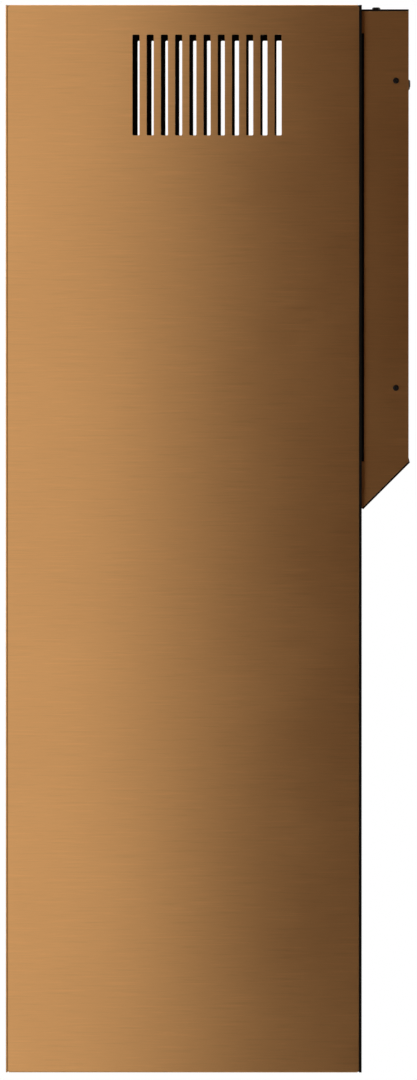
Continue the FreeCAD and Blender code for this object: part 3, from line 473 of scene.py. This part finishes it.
# ---- lamps ----
class VENTHOOD_OT_lamps(bpy.types.Operator):
    """Make the two lamps' rolled bezels and ribbed, frosted lenses"""
    bl_idname = "vent_hood.lamps"
    bl_label = "Lamps"

    def execute(self, context):
        low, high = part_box("lamp_lenses")
        radius = (high.y - low.y) / 2
        y = (high.y + low.y) / 2
        x = high.x - radius
        rim_low, rim_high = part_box("lamp_bezels")
        outer = (rim_high.y - rim_low.y) / 2
        bezel = self.bezel(radius, outer, rim_low.z, rim_high.z)
        lens = self.lens(radius, low.z, high.z)
        for name, shape, slot, node in (
                ("lamp_bezel_pair", bezel, "lamp_metal", "lamp_bezels"),
                ("lamp_lens_pair", lens, "lamp_glass", "lamp_lenses")):
            right = aimed(shape, (0, 0, 1), (x, y, 0))
            make_piece(name, together([right, mirrored(right)]), HOOD, slot, (node,))
        return {"FINISHED"}

    def bezel(self, radius, outer, low, high):
        """A ring whose section is a flange with a rolled lip, and a collar standing in it."""
        plate = 1.0 * MM
        collar = radius + 1.5 * MM
        corners = [
            (radius, high), (radius, low + 0.25 * MM), (radius + 0.6 * MM, low),
            (outer - 0.8 * MM, low), (outer, low + 0.5 * MM), (outer, plate),
            (collar, plate), (collar, high),
        ]
        return turned(rounded_outline(corners, 0.35 * MM), 96)

    def lens(self, radius, low, high):
        """A disc whose lower face has rings of rounded prisms: its height rises and falls as
        1 - cos of the radius over 2 mm, out to a plain rim; the upper face is flat."""
        r = np.linspace(0, radius - 0.4 * MM, 76)
        plain = np.clip((radius - 2.2 * MM - r) / (0.6 * MM), 0, 1)
        wave = 0.35 * MM * (1 - np.cos(TURN * r / (2 * MM))) / 2 * plain
        under = np.stack([r, low + wave], -1)
        edge = np.array([(radius, low + 0.4 * MM), (radius, high - 0.2 * MM),
                         (radius - 0.2 * MM, high), (0, high)])
        return turned(np.concatenate([under, edge]), 96)


# ---- grease filter mesh ----
def expanded_metal(low, high, pitch, diamond, width, thickness, middle, swap):
    """Zigzag strands that meet their neighbours at every peak. Strand k runs along s at
    (k + 0.5 + 0.5 (-1)^k tri(s)) times the pitch, where tri is a triangular wave between -1 and
    1, and rises and falls by a quarter of its thickness with the same wave. Each strand is a
    closed bar of rectangular section. With swap the strands run the other way across."""
    along, across = (1, 0) if swap else (0, 1)
    span, reach = high[along] - low[along], high[across] - low[across]
    strands = int(reach / pitch)
    steps = int(span / diamond * 4)
    s = np.linspace(0, 1, steps + 1)[None, :] * (steps * diamond / 4)
    tri = 4 * np.abs((s / diamond) % 1 - 0.5) - 1
    k = np.arange(strands)[:, None]
    sign = np.where(k % 2 == 0, 1, -1)
    centre = low[across] + (reach - strands * pitch) / 2 + (k + 0.5 + 0.44 * sign * tri) * pitch
    level = middle + 0.25 * thickness * sign * tri
    run = low[along] + (span - steps * diamond / 4) / 2 + s + 0 * centre
    wide = np.array([-1, 1, 1, -1]) * width / 2
    tall = np.array([-1, -1, 1, 1]) * thickness / 2
    points = np.empty((strands, steps + 1, 4, 3))
    points[..., along] = run[..., None]
    points[..., across] = centre[..., None] + wide
    points[..., 2] = level[..., None] + tall
    bar = grid_faces(steps + 1, 4, wrap=True)
    ends = np.array([[3, 2, 1, 0], [4 * steps, 4 * steps + 1, 4 * steps + 2, 4 * steps + 3]])
    one = np.concatenate([bar, ends])
    starts = (np.arange(strands) * (steps + 1) * 4)[:, None, None]
    return points.reshape(-1, 3), [(one[None] + starts).reshape(-1, 4)]


class VENTHOOD_OT_filter_mesh(bpy.types.Operator):
    """Lay the crossed layers of expanded aluminium in the grease filter"""
    bl_idname = "vent_hood.filter_mesh"
    bl_label = "Grease filter mesh"

    def execute(self, context):
        settings = context.scene.vent_hood_filter
        thickness = 0.5 * MM
        for node, scale in (("filter_mesh_lower", 1.0), ("filter_mesh_upper", 1.25)):
            low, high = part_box(node)
            layers = []
            for share, swap in ((0.25, False), (0.75, True)):
                level = low.z + share * (high.z - low.z)
                layers.append(expanded_metal(
                    low, high, settings.strand_pitch * scale, settings.diamond_length * scale,
                    settings.strand_width, thickness, level, swap))
            make_piece(node + "_layers", together(layers), "grease_filter", "filter_mesh", (node,))
        return {"FINISHED"}


# ---- small sheet and rubber parts ----
def pressed_plate(low, high, margin, depth, fine=72):
    """The top skin of a plate with a pressed pan: its height falls by the depth, as a smooth
    step 3t^2 - 2t^3 of how far a point is inside a rounded rectangle."""
    y = np.linspace(low.y, high.y, fine)[None, :]
    x = np.linspace(low.x, high.x, fine)[:, None]
    half_x, half_y = (high.x - low.x) / 2 - margin, (high.y - low.y) / 2 - margin
    middle_y = (low.y + high.y) / 2
    radius = 18 * MM
    gap_x = np.maximum(np.abs(x) - half_x + radius, 0)
    gap_y = np.maximum(np.abs(y - middle_y) - half_y + radius, 0)
    inside = np.clip((radius - np.hypot(gap_x, gap_y)) / (10 * MM) + 0.2, 0, 1)
    step = 3 * inside ** 2 - 2 * inside ** 3
    return np.stack([x + 0 * y, y + 0 * x, high.z - depth * step], -1)


class VENTHOOD_OT_trim(bpy.types.Operator):
    """Press the top plate and mould the cable grommet"""
    bl_idname = "vent_hood.trim"
    bl_label = "Top plate and grommet"

    def execute(self, context):
        sheet = context.scene.vent_hood_panels.sheet
        low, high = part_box("top_plate")
        skin = grid_shape(pressed_plate(low, high, 32 * MM, high.z - low.z - sheet))
        plate = make_piece("top_plate_pressing", skin, HOOD, "galvanised_steel", ("top_plate",),
                           closed=False)
        wall = plate.modifiers.new("sheet", "SOLIDIFY")
        wall.thickness = sheet
        wall.offset = -1

        low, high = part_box("cable_grommet")
        rim = (high.x - low.x) / 2
        length = high.y - low.y
        neck, bore = rim - 3 * MM, rim - 6 * MM
        lip = 2 * MM
        corners = [(bore, 0), (rim - 0.8 * MM, 0), (rim, lip), (neck, lip), (neck, length - lip),
                   (rim, length - lip), (rim - 0.8 * MM, length), (bore, length)]
        ring = aimed(turned(rounded_outline(corners, 0.7 * MM), 64), (0, 1, 0),
                     ((low.x + high.x) / 2, low.y, (low.z + high.z) / 2))
        make_piece("cable_grommet_ring", ring, HOOD, "black_rubber", ("cable_grommet",))
        return {"FINISHED"}


# ---- impeller ----
class VENTHOOD_OT_impeller(bpy.types.Operator):
    """Mould the double-inlet wheel with its curved blades"""
    bl_idname = "vent_hood.impeller"
    bl_label = "Impeller"

    def execute(self, context):
        low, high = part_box("impeller_wheel")
        radius = (high.y - low.y) / 2
        centre = (0, (low.y + high.y) / 2, (low.z + high.z) / 2)
        half = high.x
        inner = radius - 16 * MM
        parts = [self.blades(36, inner, radius - 1 * MM, half - 1 * MM)]
        section = [(inner - MM, -half), (radius, -half), (radius, -half + 3 * MM),
                   (inner - MM, -half + 3 * MM)]
        ring = turned(rounded_outline(section, 0.8 * MM), 144)
        parts += [ring, (ring[0] * (1, 1, -1), [group[:, ::-1] for group in ring[1]])]
        disc = [(4 * MM, -3 * MM), (12 * MM, -3 * MM), (14 * MM, -MM), (radius, -MM), (radius, MM),
                (14 * MM, MM), (12 * MM, 3 * MM), (11.5 * MM, 14 * MM), (4 * MM, 14 * MM)]
        parts.append(turned(rounded_outline(disc, 0.6 * MM), 144))
        wheel = aimed(together(parts), (1, 0, 0), centre)
        make_piece("impeller_moulding", wheel, "impeller", "wheel_moulding", ("impeller_wheel",))
        return {"FINISHED"}

    def blades(self, count, inner, outer, half):
        """Forward-curved blades. Along a blade t goes from 0 to 1: the radius goes evenly from
        inner to outer and the angle leads by 0.16 t^2 radians; its thickness swells and thins
        as 0.6 + 0.5 sin(pi t) millimetres on both sides, closed at its edges and ends."""
        t = np.concatenate([np.linspace(0, 1, 9), np.linspace(1, 0, 9)])
        side = np.repeat([1.0, -1.0], 9)
        thick = (0.3 + 0.25 * np.sin(math.pi * t)) * MM * side
        r = inner + (outer - inner) * t
        lead = 0.16 * t ** 2
        blade = np.arange(count)[:, None, None] * TURN / count
        angle = blade + (lead + thick / r)[None, :, None]
        ends = np.array([-half, half])[None, None, :] + 0 * angle
        radii = r[None, :, None] + 0 * ends
        points = np.stack([radii * np.cos(angle), radii * np.sin(angle), ends], -1)
        rim = np.arange(18)
        beside = (rim + 1) % 18
        wall = np.stack([2 * rim, 2 * beside, 2 * beside + 1, 2 * rim + 1], -1)
        pairs = np.arange(8)
        far = 17 - pairs
        strip = np.stack([pairs, pairs + 1, far - 1, far], -1)
        one = np.concatenate([wall, 2 * strip, (2 * strip + 1)[:, ::-1]])
        starts = (np.arange(count) * 36)[:, None, None]
        return points.reshape(-1, 3), [(one[None] + starts).reshape(-1, 4)]


# ---- shader node groups ----
def add_node(tree, kind, sockets=None, **settings):
    """A new node, with its properties by name and its sockets' defaults by name or number."""
    node = tree.nodes.new(kind)
    for key, value in settings.items():
        setattr(node, key, value)
    for key, value in (sockets or {}).items():
        node.inputs[key].default_value = value
    return node


def wire(tree, source, target):
    tree.links.new(source, target)


def maths(tree, operation, first, second=None):
    """A Math node on sockets or numbers; its result socket."""
    node = add_node(tree, "ShaderNodeMath", operation=operation)
    for socket, value in zip(node.inputs, (first, second)):
        if value is None:
            continue
        if isinstance(value, (int, float)):
            socket.default_value = value
        else:
            wire(tree, value, socket)
    return node.outputs[0]


def new_group(name, inputs, outputs):
    """An empty node group with float inputs (name: default) and float or vector outputs."""
    group = bpy.data.node_groups.new(name, "ShaderNodeTree")
    for label, default in inputs.items():
        socket = group.interface.new_socket(
            name=label, in_out="INPUT", socket_type="NodeSocketFloat")
        socket.default_value = default
    for label, kind in outputs.items():
        group.interface.new_socket(name=label, in_out="OUTPUT", socket_type="NodeSocket" + kind)
    return group, group.nodes.new("NodeGroupInput"), group.nodes.new("NodeGroupOutput")


def grain_group():
    """Brushing: noise drawn out along the sheet and fine across it, with its highest and lowest
    places picked out as short dashes. On upright faces it runs level; on flat faces along x."""
    group, ins, outs = new_group(
        "brushed grain", {"Across": 900.0, "Along": 30.0}, {"Streaks": "Float", "Height": "Float"})
    place = add_node(group, "ShaderNodeTexCoord")
    part = add_node(group, "ShaderNodeSeparateXYZ")
    wire(group, place.outputs["Object"], part.inputs[0])
    facing = add_node(group, "ShaderNodeNewGeometry")
    normal = add_node(group, "ShaderNodeSeparateXYZ")
    wire(group, facing.outputs["True Normal"], normal.inputs[0])
    flat = maths(group, "GREATER_THAN", maths(group, "ABSOLUTE", normal.outputs[2]), 0.7)
    across, along = ins.outputs["Across"], ins.outputs["Along"]
    upright = add_node(group, "ShaderNodeCombineXYZ")
    level = add_node(group, "ShaderNodeCombineXYZ")
    for target, rates in ((upright, (along, along, across)), (level, (along, across, along))):
        for axis, rate in enumerate(rates):
            wire(group, maths(group, "MULTIPLY", part.outputs[axis], rate), target.inputs[axis])
    pick = add_node(group, "ShaderNodeMix", data_type="VECTOR")
    wire(group, flat, pick.inputs["Factor"])
    wire(group, upright.outputs[0], pick.inputs["A"])
    wire(group, level.outputs[0], pick.inputs["B"])
    stretched = pick.outputs["Result"]
    coarse = add_node(group, "ShaderNodeTexNoise", {"Scale": 0.6, "Detail": 3.0, "Roughness": 0.6})
    fine = add_node(group, "ShaderNodeTexNoise", {"Scale": 1.9, "Detail": 2.0, "Roughness": 0.55})
    for noise in (coarse, fine):
        wire(group, stretched, noise.inputs["Vector"])
    bright = add_node(group, "ShaderNodeMapRange", {"From Min": 0.56, "From Max": 0.68})
    dark = add_node(group, "ShaderNodeMapRange", {"From Min": 0.44, "From Max": 0.32})
    for part_range in (bright, dark):
        wire(group, coarse.outputs[0], part_range.inputs["Value"])
    contrast = maths(group, "SUBTRACT", bright.outputs[0], dark.outputs[0])
    dashes = maths(group, "MULTIPLY", contrast, 0.2)
    lines = maths(group, "MULTIPLY", fine.outputs[0], 0.4)
    both = maths(group, "ADD", maths(group, "ADD", dashes, lines), 0.3)
    wire(group, both, outs.inputs["Streaks"])
    wire(group, fine.outputs[0], outs.inputs["Height"])
    return group


def plain_noise_group(name, scale, detail, rough):
    """Plain noise at a scale, and a second noise fifty times coarser."""
    group, ins, outs = new_group(name, {"Scale": scale}, {"Fine": "Float", "Broad": "Float"})
    place = add_node(group, "ShaderNodeTexCoord")
    fine = add_node(group, "ShaderNodeTexNoise", {"Detail": detail, "Roughness": rough})
    broad = add_node(group, "ShaderNodeTexNoise", {"Detail": 3.0, "Roughness": 0.55})
    wire(group, place.outputs["Object"], fine.inputs["Vector"])
    wire(group, place.outputs["Object"], broad.inputs["Vector"])
    wire(group, ins.outputs["Scale"], fine.inputs["Scale"])
    wire(group, maths(group, "MULTIPLY", ins.outputs["Scale"], 0.02), broad.inputs["Scale"])
    wire(group, fine.outputs[0], outs.inputs["Fine"])
    wire(group, broad.outputs[0], outs.inputs["Broad"])
    return group


def cell_group(name, scale):
    """Cells: each has its own tone, and a height that falls from its middle to its edge."""
    group, ins, outs = new_group(name, {"Scale": scale}, {"Tone": "Float", "Height": "Float"})
    place = add_node(group, "ShaderNodeTexCoord")
    cells = add_node(group, "ShaderNodeTexVoronoi", feature="F1")
    wire(group, place.outputs["Object"], cells.inputs["Vector"])
    wire(group, ins.outputs["Scale"], cells.inputs["Scale"])
    tone = add_node(group, "ShaderNodeSeparateXYZ")
    wire(group, cells.outputs["Color"], tone.inputs[0])
    wire(group, tone.outputs[0], outs.inputs["Tone"])
    wire(group, maths(group, "SUBTRACT", 1.0, cells.outputs["Distance"]), outs.inputs["Height"])
    return group


def edge_group():
    """Softened edges: the normal rounded off within a radius, and a mask of where it turns."""
    group, ins, outs = new_group("softened edges", {"Radius": 0.4 * MM},
                                 {"Normal": "Vector", "Edge": "Float"})
    soft = add_node(group, "ShaderNodeBevel", samples=4)
    wire(group, ins.outputs["Radius"], soft.inputs["Radius"])
    facing = add_node(group, "ShaderNodeNewGeometry")
    dot = add_node(group, "ShaderNodeVectorMath", operation="DOT_PRODUCT")
    wire(group, soft.outputs[0], dot.inputs[0])
    wire(group, facing.outputs["Normal"], dot.inputs[1])
    turn = maths(group, "SUBTRACT", 1.0, dot.outputs["Value"])
    turned_away = maths(group, "MULTIPLY", turn, EDGE_GAIN)
    turned_away.node.use_clamp = True
    wire(group, soft.outputs[0], outs.inputs["Normal"])
    wire(group, turned_away, outs.inputs["Edge"])
    return group


def inner_group():
    """A mask of the faces that look at the column's axis: one where the level part of the normal
    times the place, measured from the axis, is under minus 0.12 m."""
    group, _, outs = new_group("inner faces", {}, {"Inside": "Float"})
    place = add_node(group, "ShaderNodeTexCoord")
    shifted = add_node(group, "ShaderNodeVectorMath", {1: (0, AXIS_SHIFT, 0)}, operation="ADD")
    wire(group, place.outputs["Object"], shifted.inputs[0])
    level = add_node(group, "ShaderNodeVectorMath", {1: (1, 1, 0)}, operation="MULTIPLY")
    wire(group, shifted.outputs[0], level.inputs[0])
    facing = add_node(group, "ShaderNodeNewGeometry")
    dot = add_node(group, "ShaderNodeVectorMath", operation="DOT_PRODUCT")
    wire(group, level.outputs[0], dot.inputs[0])
    wire(group, facing.outputs["True Normal"], dot.inputs[1])
    inside = maths(group, "LESS_THAN", dot.outputs["Value"], INNER_LIMIT)
    wire(group, inside, outs.inputs["Inside"])
    return group


def build_groups():
    return {
        "inner": inner_group(),
        "grain": grain_group(),
        "peel": plain_noise_group("orange peel", 900.0, 2.0, 0.5),
        "leather": plain_noise_group("moulding texture", 2600.0, 1.0, 0.5),
        "spangle": cell_group("zinc spangle", 110.0),
        "granules": cell_group("granules", 330.0),
        "foam": cell_group("foam cells", 900.0),
        "edges": edge_group(),
        "smudge": plain_noise_group("smudges", 350.0, 4.0, 0.6),
    }


# ---- materials ----
def mixed(tree, factor, first, second):
    """A colour between two, each an RGB triple or a socket."""
    mix = add_node(tree, "ShaderNodeMix", data_type="RGBA")
    wire(tree, factor, mix.inputs["Factor"])
    for socket, value in ((mix.inputs[6], first), (mix.inputs[7], second)):
        if isinstance(value, tuple):
            socket.default_value = (*value, 1)
        else:
            wire(tree, value, socket)
    return mix.outputs[2]


def ranged(tree, value, low, high):
    """The value, which lies between 0.3 and 0.7 for most noise, carried to another range."""
    node = add_node(tree, "ShaderNodeMapRange",
                    {"From Min": 0.3, "From Max": 0.7, "To Min": low, "To Max": high})
    wire(tree, value, node.inputs["Value"])
    return node.outputs[0]


def toned(colour, factor):
    return tuple(min(1.0, channel * factor) for channel in colour)


def make_finish(groups, name, colour, pattern, roughness, metallic=0.0, variation=0.08,
                rough_spread=0.05, bump=0.2, bump_height=0.02 * MM, edge_colour=None,
                edge_radius=0.35 * MM, scale=None, inner_colour=None, shader_settings=None):
    """A finish from a pattern group, smudges and softened edges, with a painted highlight
    along those edges. The pattern shades the colour by the variation, spreads the roughness and
    raises the surface."""
    material = bpy.data.materials.new(FINISH + name)
    material.use_nodes = True
    material.diffuse_color = (*colour, 1)
    tree = material.node_tree
    shader = tree.nodes["Principled BSDF"]
    for socket, value in (shader_settings or {}).items():
        shader.inputs[socket].default_value = value
    shader.inputs["Metallic"].default_value = metallic

    detail = add_node(tree, "ShaderNodeGroup", node_tree=groups[pattern])
    if scale:
        detail.inputs[0].default_value = scale
    tone, height = detail.outputs[0], detail.outputs[1]
    if pattern in ("peel", "leather"):
        height = detail.outputs[0]
    smudge = add_node(tree, "ShaderNodeGroup", node_tree=groups["smudge"])
    edges = add_node(tree, "ShaderNodeGroup", {"Radius": edge_radius}, node_tree=groups["edges"])

    base = mixed(tree, ranged(tree, tone, 0, 1), toned(colour, 1 - variation),
                 toned(colour, 1 + variation))
    # painted highlight: the colour is lightened along the edges where the softened normal turns
    painted_edge_highlight = maths(tree, "MULTIPLY", edges.outputs["Edge"], 0.6)
    base = mixed(tree, painted_edge_highlight, base, edge_colour or toned(colour, 1.25))
    # painted shade: faces turned towards the column's axis take a near-black colour for the shade
    # inside the hollow column
    if inner_colour:
        inner = add_node(tree, "ShaderNodeGroup", node_tree=groups["inner"])
        base = mixed(tree, inner.outputs["Inside"], base, inner_colour)
    wire(tree, base, shader.inputs["Base Color"])

    rough = maths(tree, "ADD", ranged(tree, tone, -rough_spread, rough_spread),
                  ranged(tree, smudge.outputs["Broad"], roughness - 0.02, roughness + 0.02))
    wire(tree, rough, shader.inputs["Roughness"])

    raised = add_node(tree, "ShaderNodeBump", {"Strength": bump, "Distance": bump_height})
    wire(tree, height, raised.inputs["Height"])
    wire(tree, edges.outputs["Normal"], raised.inputs["Normal"])
    wire(tree, raised.outputs[0], shader.inputs["Normal"])
    return material


def build_finishes(settings):
    """Every material slot's finish, named for its slot."""
    groups = build_groups()
    copper, black = tuple(settings.copper), tuple(settings.black_paint)
    zinc, grey = tuple(settings.zinc), tuple(settings.grey_plastic)

    def finish(*args, **kwargs):
        make_finish(groups, *args, **kwargs)

    # near-black colour painted on the copper's inner faces: painted shade inside the hollow column
    inner_shade = (0.015, 0.010, 0.007)
    coat = {"Coat Weight": 0.05, "Coat Roughness": 0.30, "Coat IOR": 1.5}
    finish("brushed_copper", copper, "grain", settings.copper_roughness, 1.0, variation=0.06,
           rough_spread=0.02, bump=0.10, bump_height=0.01 * MM, inner_colour=inner_shade,
           shader_settings=coat)
    # painted shade: the underside copper is the copper darkened by a tenth
    finish("copper_underside", toned(copper, 0.9), "grain", 0.45, 1.0, variation=0.05,
           rough_spread=0.04, bump=0.15, bump_height=0.01 * MM, shader_settings=coat)
    finish("black_steel", black, "peel", 0.5, variation=0.15, bump=0.35,
           edge_colour=toned(black, 1.5), shader_settings={"Specular IOR Level": 0.2})
    finish("galvanised_steel", zinc, "spangle", 0.42, 1.0, variation=0.09, rough_spread=0.06,
           bump=0.05)
    finish("black_screw", (0.009, 0.007, 0.006), "peel", 0.45, 0.2, variation=0.2, bump=0.15,
           edge_colour=(0.03, 0.026, 0.024), edge_radius=0.15 * MM)
    finish("foam_seal", (0.018, 0.018, 0.02), "foam", 0.95, variation=0.35, bump=0.9,
           bump_height=0.3 * MM)
    finish("black_rubber", (0.02, 0.02, 0.021), "leather", 0.65, variation=0.2, bump=0.3,
           bump_height=0.03 * MM)
    finish("grey_moulding", grey, "leather", 0.5, variation=0.06, bump=0.4, bump_height=0.03 * MM)
    finish("wheel_moulding", toned(grey, 0.35), "leather", 0.42, variation=0.08, bump=0.25,
           bump_height=0.02 * MM)
    finish("motor_steel", (0.42, 0.42, 0.43), "grain", 0.38, 1.0, variation=0.08, scale=700.0)
    finish("stator_core", (0.16, 0.15, 0.15), "grain", 0.5, 0.9, variation=0.3, bump=0.5,
           scale=1500.0)
    finish("damper_aluminium", (0.72, 0.73, 0.74), "grain", 0.35, 1.0, variation=0.06)
    finish("filter_aluminium", (0.78, 0.79, 0.80), "grain", 0.32, 1.0, variation=0.06,
           bump=0.2, edge_colour=(0.9, 0.9, 0.9))
    finish("filter_mesh", (0.74, 0.75, 0.76), "peel", 0.34, 1.0, variation=0.1, bump=0.2,
           edge_radius=0.1 * MM)
    finish("filter_steel", (0.55, 0.55, 0.56), "grain", 0.3, 1.0, variation=0.08)
    finish("magnet", (0.05, 0.05, 0.055), "peel", 0.35, 0.6, variation=0.3, bump=0.3)
    finish("carbon_cassette", (0.025, 0.025, 0.027), "leather", 0.55, variation=0.12, bump=0.4,
           bump_height=0.03 * MM)
    finish("carbon_granules", (0.012, 0.012, 0.013), "granules", 0.6, variation=0.6,
           rough_spread=0.2, bump=1.0, bump_height=1.2 * MM)
    finish("lamp_metal", (0.66, 0.67, 0.68), "grain", 0.25, 1.0, variation=0.05, scale=1400.0)
    finish("lamp_glass", (0.86, 0.88, 0.88), "peel", 0.45, variation=0.03, bump=0.3,
           shader_settings={"Transmission Weight": 0.6, "IOR": 1.49})
    finish("lamp_body", (0.60, 0.61, 0.62), "grain", 0.4, 1.0, variation=0.1, scale=500.0)
    finish("button_metal", (0.62, 0.63, 0.64), "grain", 0.24, 1.0, variation=0.06, scale=1800.0)
    finish("black_moulding", (0.022, 0.022, 0.024), "leather", 0.5, variation=0.12, bump=0.4,
           bump_height=0.03 * MM)
    finish("circuit_board", (0.02, 0.12, 0.05), "granules", 0.35, variation=0.25, bump=0.1,
           scale=500.0)
    finish("capacitor_case", (0.55, 0.56, 0.58), "grain", 0.35, 0.9, variation=0.08, scale=900.0)


class VENTHOOD_OT_finishes(bpy.types.Operator):
    """Build the finishes and give every carried-over part the one its slot names"""
    bl_idname = "vent_hood.finishes"
    bl_label = "Finishes"

    def execute(self, context):
        build_finishes(context.scene.vent_hood_finishes)
        for part in frame["record"]["subparts"]:
            for holder in frame["nodes"][part["node"]].material_slots:
                holder.material = bpy.data.materials[FINISH + part["material_slot"]]
        return {"FINISHED"}


# ---- the stage ----
def look_at(obj, target):
    obj.rotation_euler = (Vector(target) - obj.location).to_track_quat("-Z", "Y").to_euler()


def soft_box(name, place, target, size, power):
    """A rectangular lamp that the camera doesn't see."""
    light = bpy.data.lights.new(name, "AREA")
    light.shape = "RECTANGLE"
    light.size, light.size_y = size
    light.energy = power
    obj = bpy.data.objects.new(name, light)
    bpy.context.scene.collection.objects.link(obj)
    obj.location = place
    look_at(obj, target)
    obj.visible_camera = False


def split_by_ray(tree, seen, lit, out):
    """What the camera sees directly is one shader, and what lights the object is another."""
    mix = tree.nodes.new("ShaderNodeMixShader")
    path = tree.nodes.new("ShaderNodeLightPath")
    wire(tree, path.outputs["Is Camera Ray"], mix.inputs[0])
    wire(tree, lit.outputs[0], mix.inputs[1])
    wire(tree, seen.outputs[0], mix.inputs[2])
    wire(tree, mix.outputs[0], out.inputs[0])


def floor_material():
    material = bpy.data.materials.new("pale floor")
    material.use_nodes = True
    tree = material.node_tree
    tree.nodes.clear()
    glow = add_node(tree, "ShaderNodeEmission", {"Strength": 1.0})
    matt = add_node(tree, "ShaderNodeBsdfDiffuse", {"Color": (0.35, 0.35, 0.35, 1)})
    split_by_ray(tree, glow, matt, tree.nodes.new("ShaderNodeOutputMaterial"))
    return material


def white_world(scene, fill, tint):
    """White to the camera. It lights the object warmly from the right, and evenly elsewhere."""
    world = bpy.data.worlds.new("white room")
    scene.world = world
    world.use_nodes = True
    tree = world.node_tree
    tree.nodes.clear()
    seen = add_node(tree, "ShaderNodeBackground", {"Color": (1, 1, 1, 1), "Strength": 1.0})
    lit = add_node(tree, "ShaderNodeBackground")
    place = add_node(tree, "ShaderNodeTexCoord")
    part = add_node(tree, "ShaderNodeSeparateXYZ")
    wire(tree, place.outputs["Generated"], part.inputs[0])
    right = add_node(tree, "ShaderNodeMapRange", {"From Min": 0.6, "From Max": 0.8})
    wire(tree, part.outputs[0], right.inputs["Value"])
    warm = tuple(fill * channel for channel in tint)
    wire(tree, mixed(tree, right.outputs[0], ROOM_LIGHT, warm), lit.inputs["Color"])
    split_by_ray(tree, seen, lit, tree.nodes.new("ShaderNodeOutputWorld"))


class VENTHOOD_OT_stage(bpy.types.Operator):
    """Make the camera, the pale floor, the surrounding light and the soft studio lamps"""
    bl_idname = "vent_hood.stage"
    bl_label = "Stage"

    def execute(self, context):
        settings = context.scene.vent_hood_stage
        near_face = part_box("side_panel_right")[1].x
        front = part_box("front_panel")[0].y
        camera = bpy.data.objects.new("camera", bpy.data.cameras.new("camera"))
        context.scene.collection.objects.link(camera)
        back, height = CAMERA_OFFSET
        camera.location = (near_face + settings.camera_distance, front + back, height)
        back, height = TARGET_OFFSET
        look_at(camera, (near_face, front + back, height))
        camera.data.sensor_width = 36.0
        share = settings.camera_distance / settings.view_height
        camera.data.lens = camera.data.sensor_width * share
        camera.data.clip_end = 400.0
        context.scene.camera = camera
        context.scene.view_settings.view_transform = "Standard"

        bpy.ops.mesh.primitive_plane_add(size=400, location=(0, 0, -settings.drop))
        floor = context.object
        floor.name = "floor"
        floor.data.materials.append(floor_material())
        white_world(context.scene, settings.fill, settings.fill_tint)
        self.lamps(settings, near_face, front)
        return {"FINISHED"}

    def lamps(self, settings, near_face, front):
        """A tall strip over the front edge of the near side, and soft boxes that light the other
        faces and hardly reach that side. Each row: name, place, target, size, power."""
        middle = 0.53
        key_y = front - 0.063
        rows = (
            ("key strip", (near_face + 0.65, key_y, middle), (near_face, key_y, middle),
             (0.44, 3.0), settings.key_power),
            ("front box", (-0.7, front - 2.2, 1.1), (-0.1, front, 0.5), (1.2, 2.0), 26),
            ("left box", (-2.4, 0.3, 1.1), (-0.17, 0, 0.5), (1.2, 2.0), 45),
            ("side box", (1.7, 2.3, 1.0), (0.17, 0, 0.5), (1.0, 2.0), 4),
            ("corner box", (2.2, front - 1.9, 0.6), (near_face, front, middle), (0.9, 2.2), 6),
            ("rear box", (-0.8, 2.3, 1.2), (-0.1, 0.2, 0.6), (1.2, 1.6), 50),
            ("top box", (-0.3, 0.0, 2.9), (-0.1, 0, 1.06), (1.0, 1.0), 14),
            ("under box", (-0.25, 0.0, -0.28), (-0.15, 0, 0), (0.5, 0.9), 1.5),
        )
        for row in rows:
            soft_box(*row)


# ---- add-on ----
class VENTHOOD_PT_sidebar(bpy.types.Panel):
    """The steps that build the vent hood, in order"""
    bl_idname = "VENTHOOD_PT_sidebar"
    bl_label = "Vent hood"
    bl_space_type = "VIEW_3D"
    bl_region_type = "UI"
    bl_category = "Vent Hood"

    def draw(self, context):
        for step in STEPS:
            self.layout.operator(step.bl_idname)
        for owner in SETTINGS:
            group = getattr(context.scene, owner)
            for key in group.bl_rna.properties.keys():
                if key not in ("rna_type", "name"):
                    self.layout.prop(group, key)


SETTINGS = {
    "vent_hood_finishes": HoodFinishes, "vent_hood_vents": HoodVents,
    "vent_hood_panels": HoodPanels, "vent_hood_screws": HoodScrews,
    "vent_hood_filter": HoodFilter, "vent_hood_stage": HoodStage,
}
STEPS = (
    VENTHOOD_OT_stage, VENTHOOD_OT_finishes, VENTHOOD_OT_side_panels, VENTHOOD_OT_screws,
    VENTHOOD_OT_buttons, VENTHOOD_OT_lamps, VENTHOOD_OT_filter_mesh, VENTHOOD_OT_trim,
    VENTHOOD_OT_impeller,
)
CLASSES = (*SETTINGS.values(), *STEPS, VENTHOOD_PT_sidebar)


def register():
    for cls in CLASSES:
        bpy.utils.register_class(cls)
    for name, group in SETTINGS.items():
        setattr(bpy.types.Scene, name, bpy.props.PointerProperty(type=group))


def unregister():
    for name in SETTINGS:
        delattr(bpy.types.Scene, name)
    for cls in reversed(CLASSES):
        bpy.utils.unregister_class(cls)


def main():
    register()
    for step in STEPS:
        area, name = step.bl_idname.split(".")
        getattr(getattr(bpy.ops, area), name)()


if __name__ == "__main__":
    main()
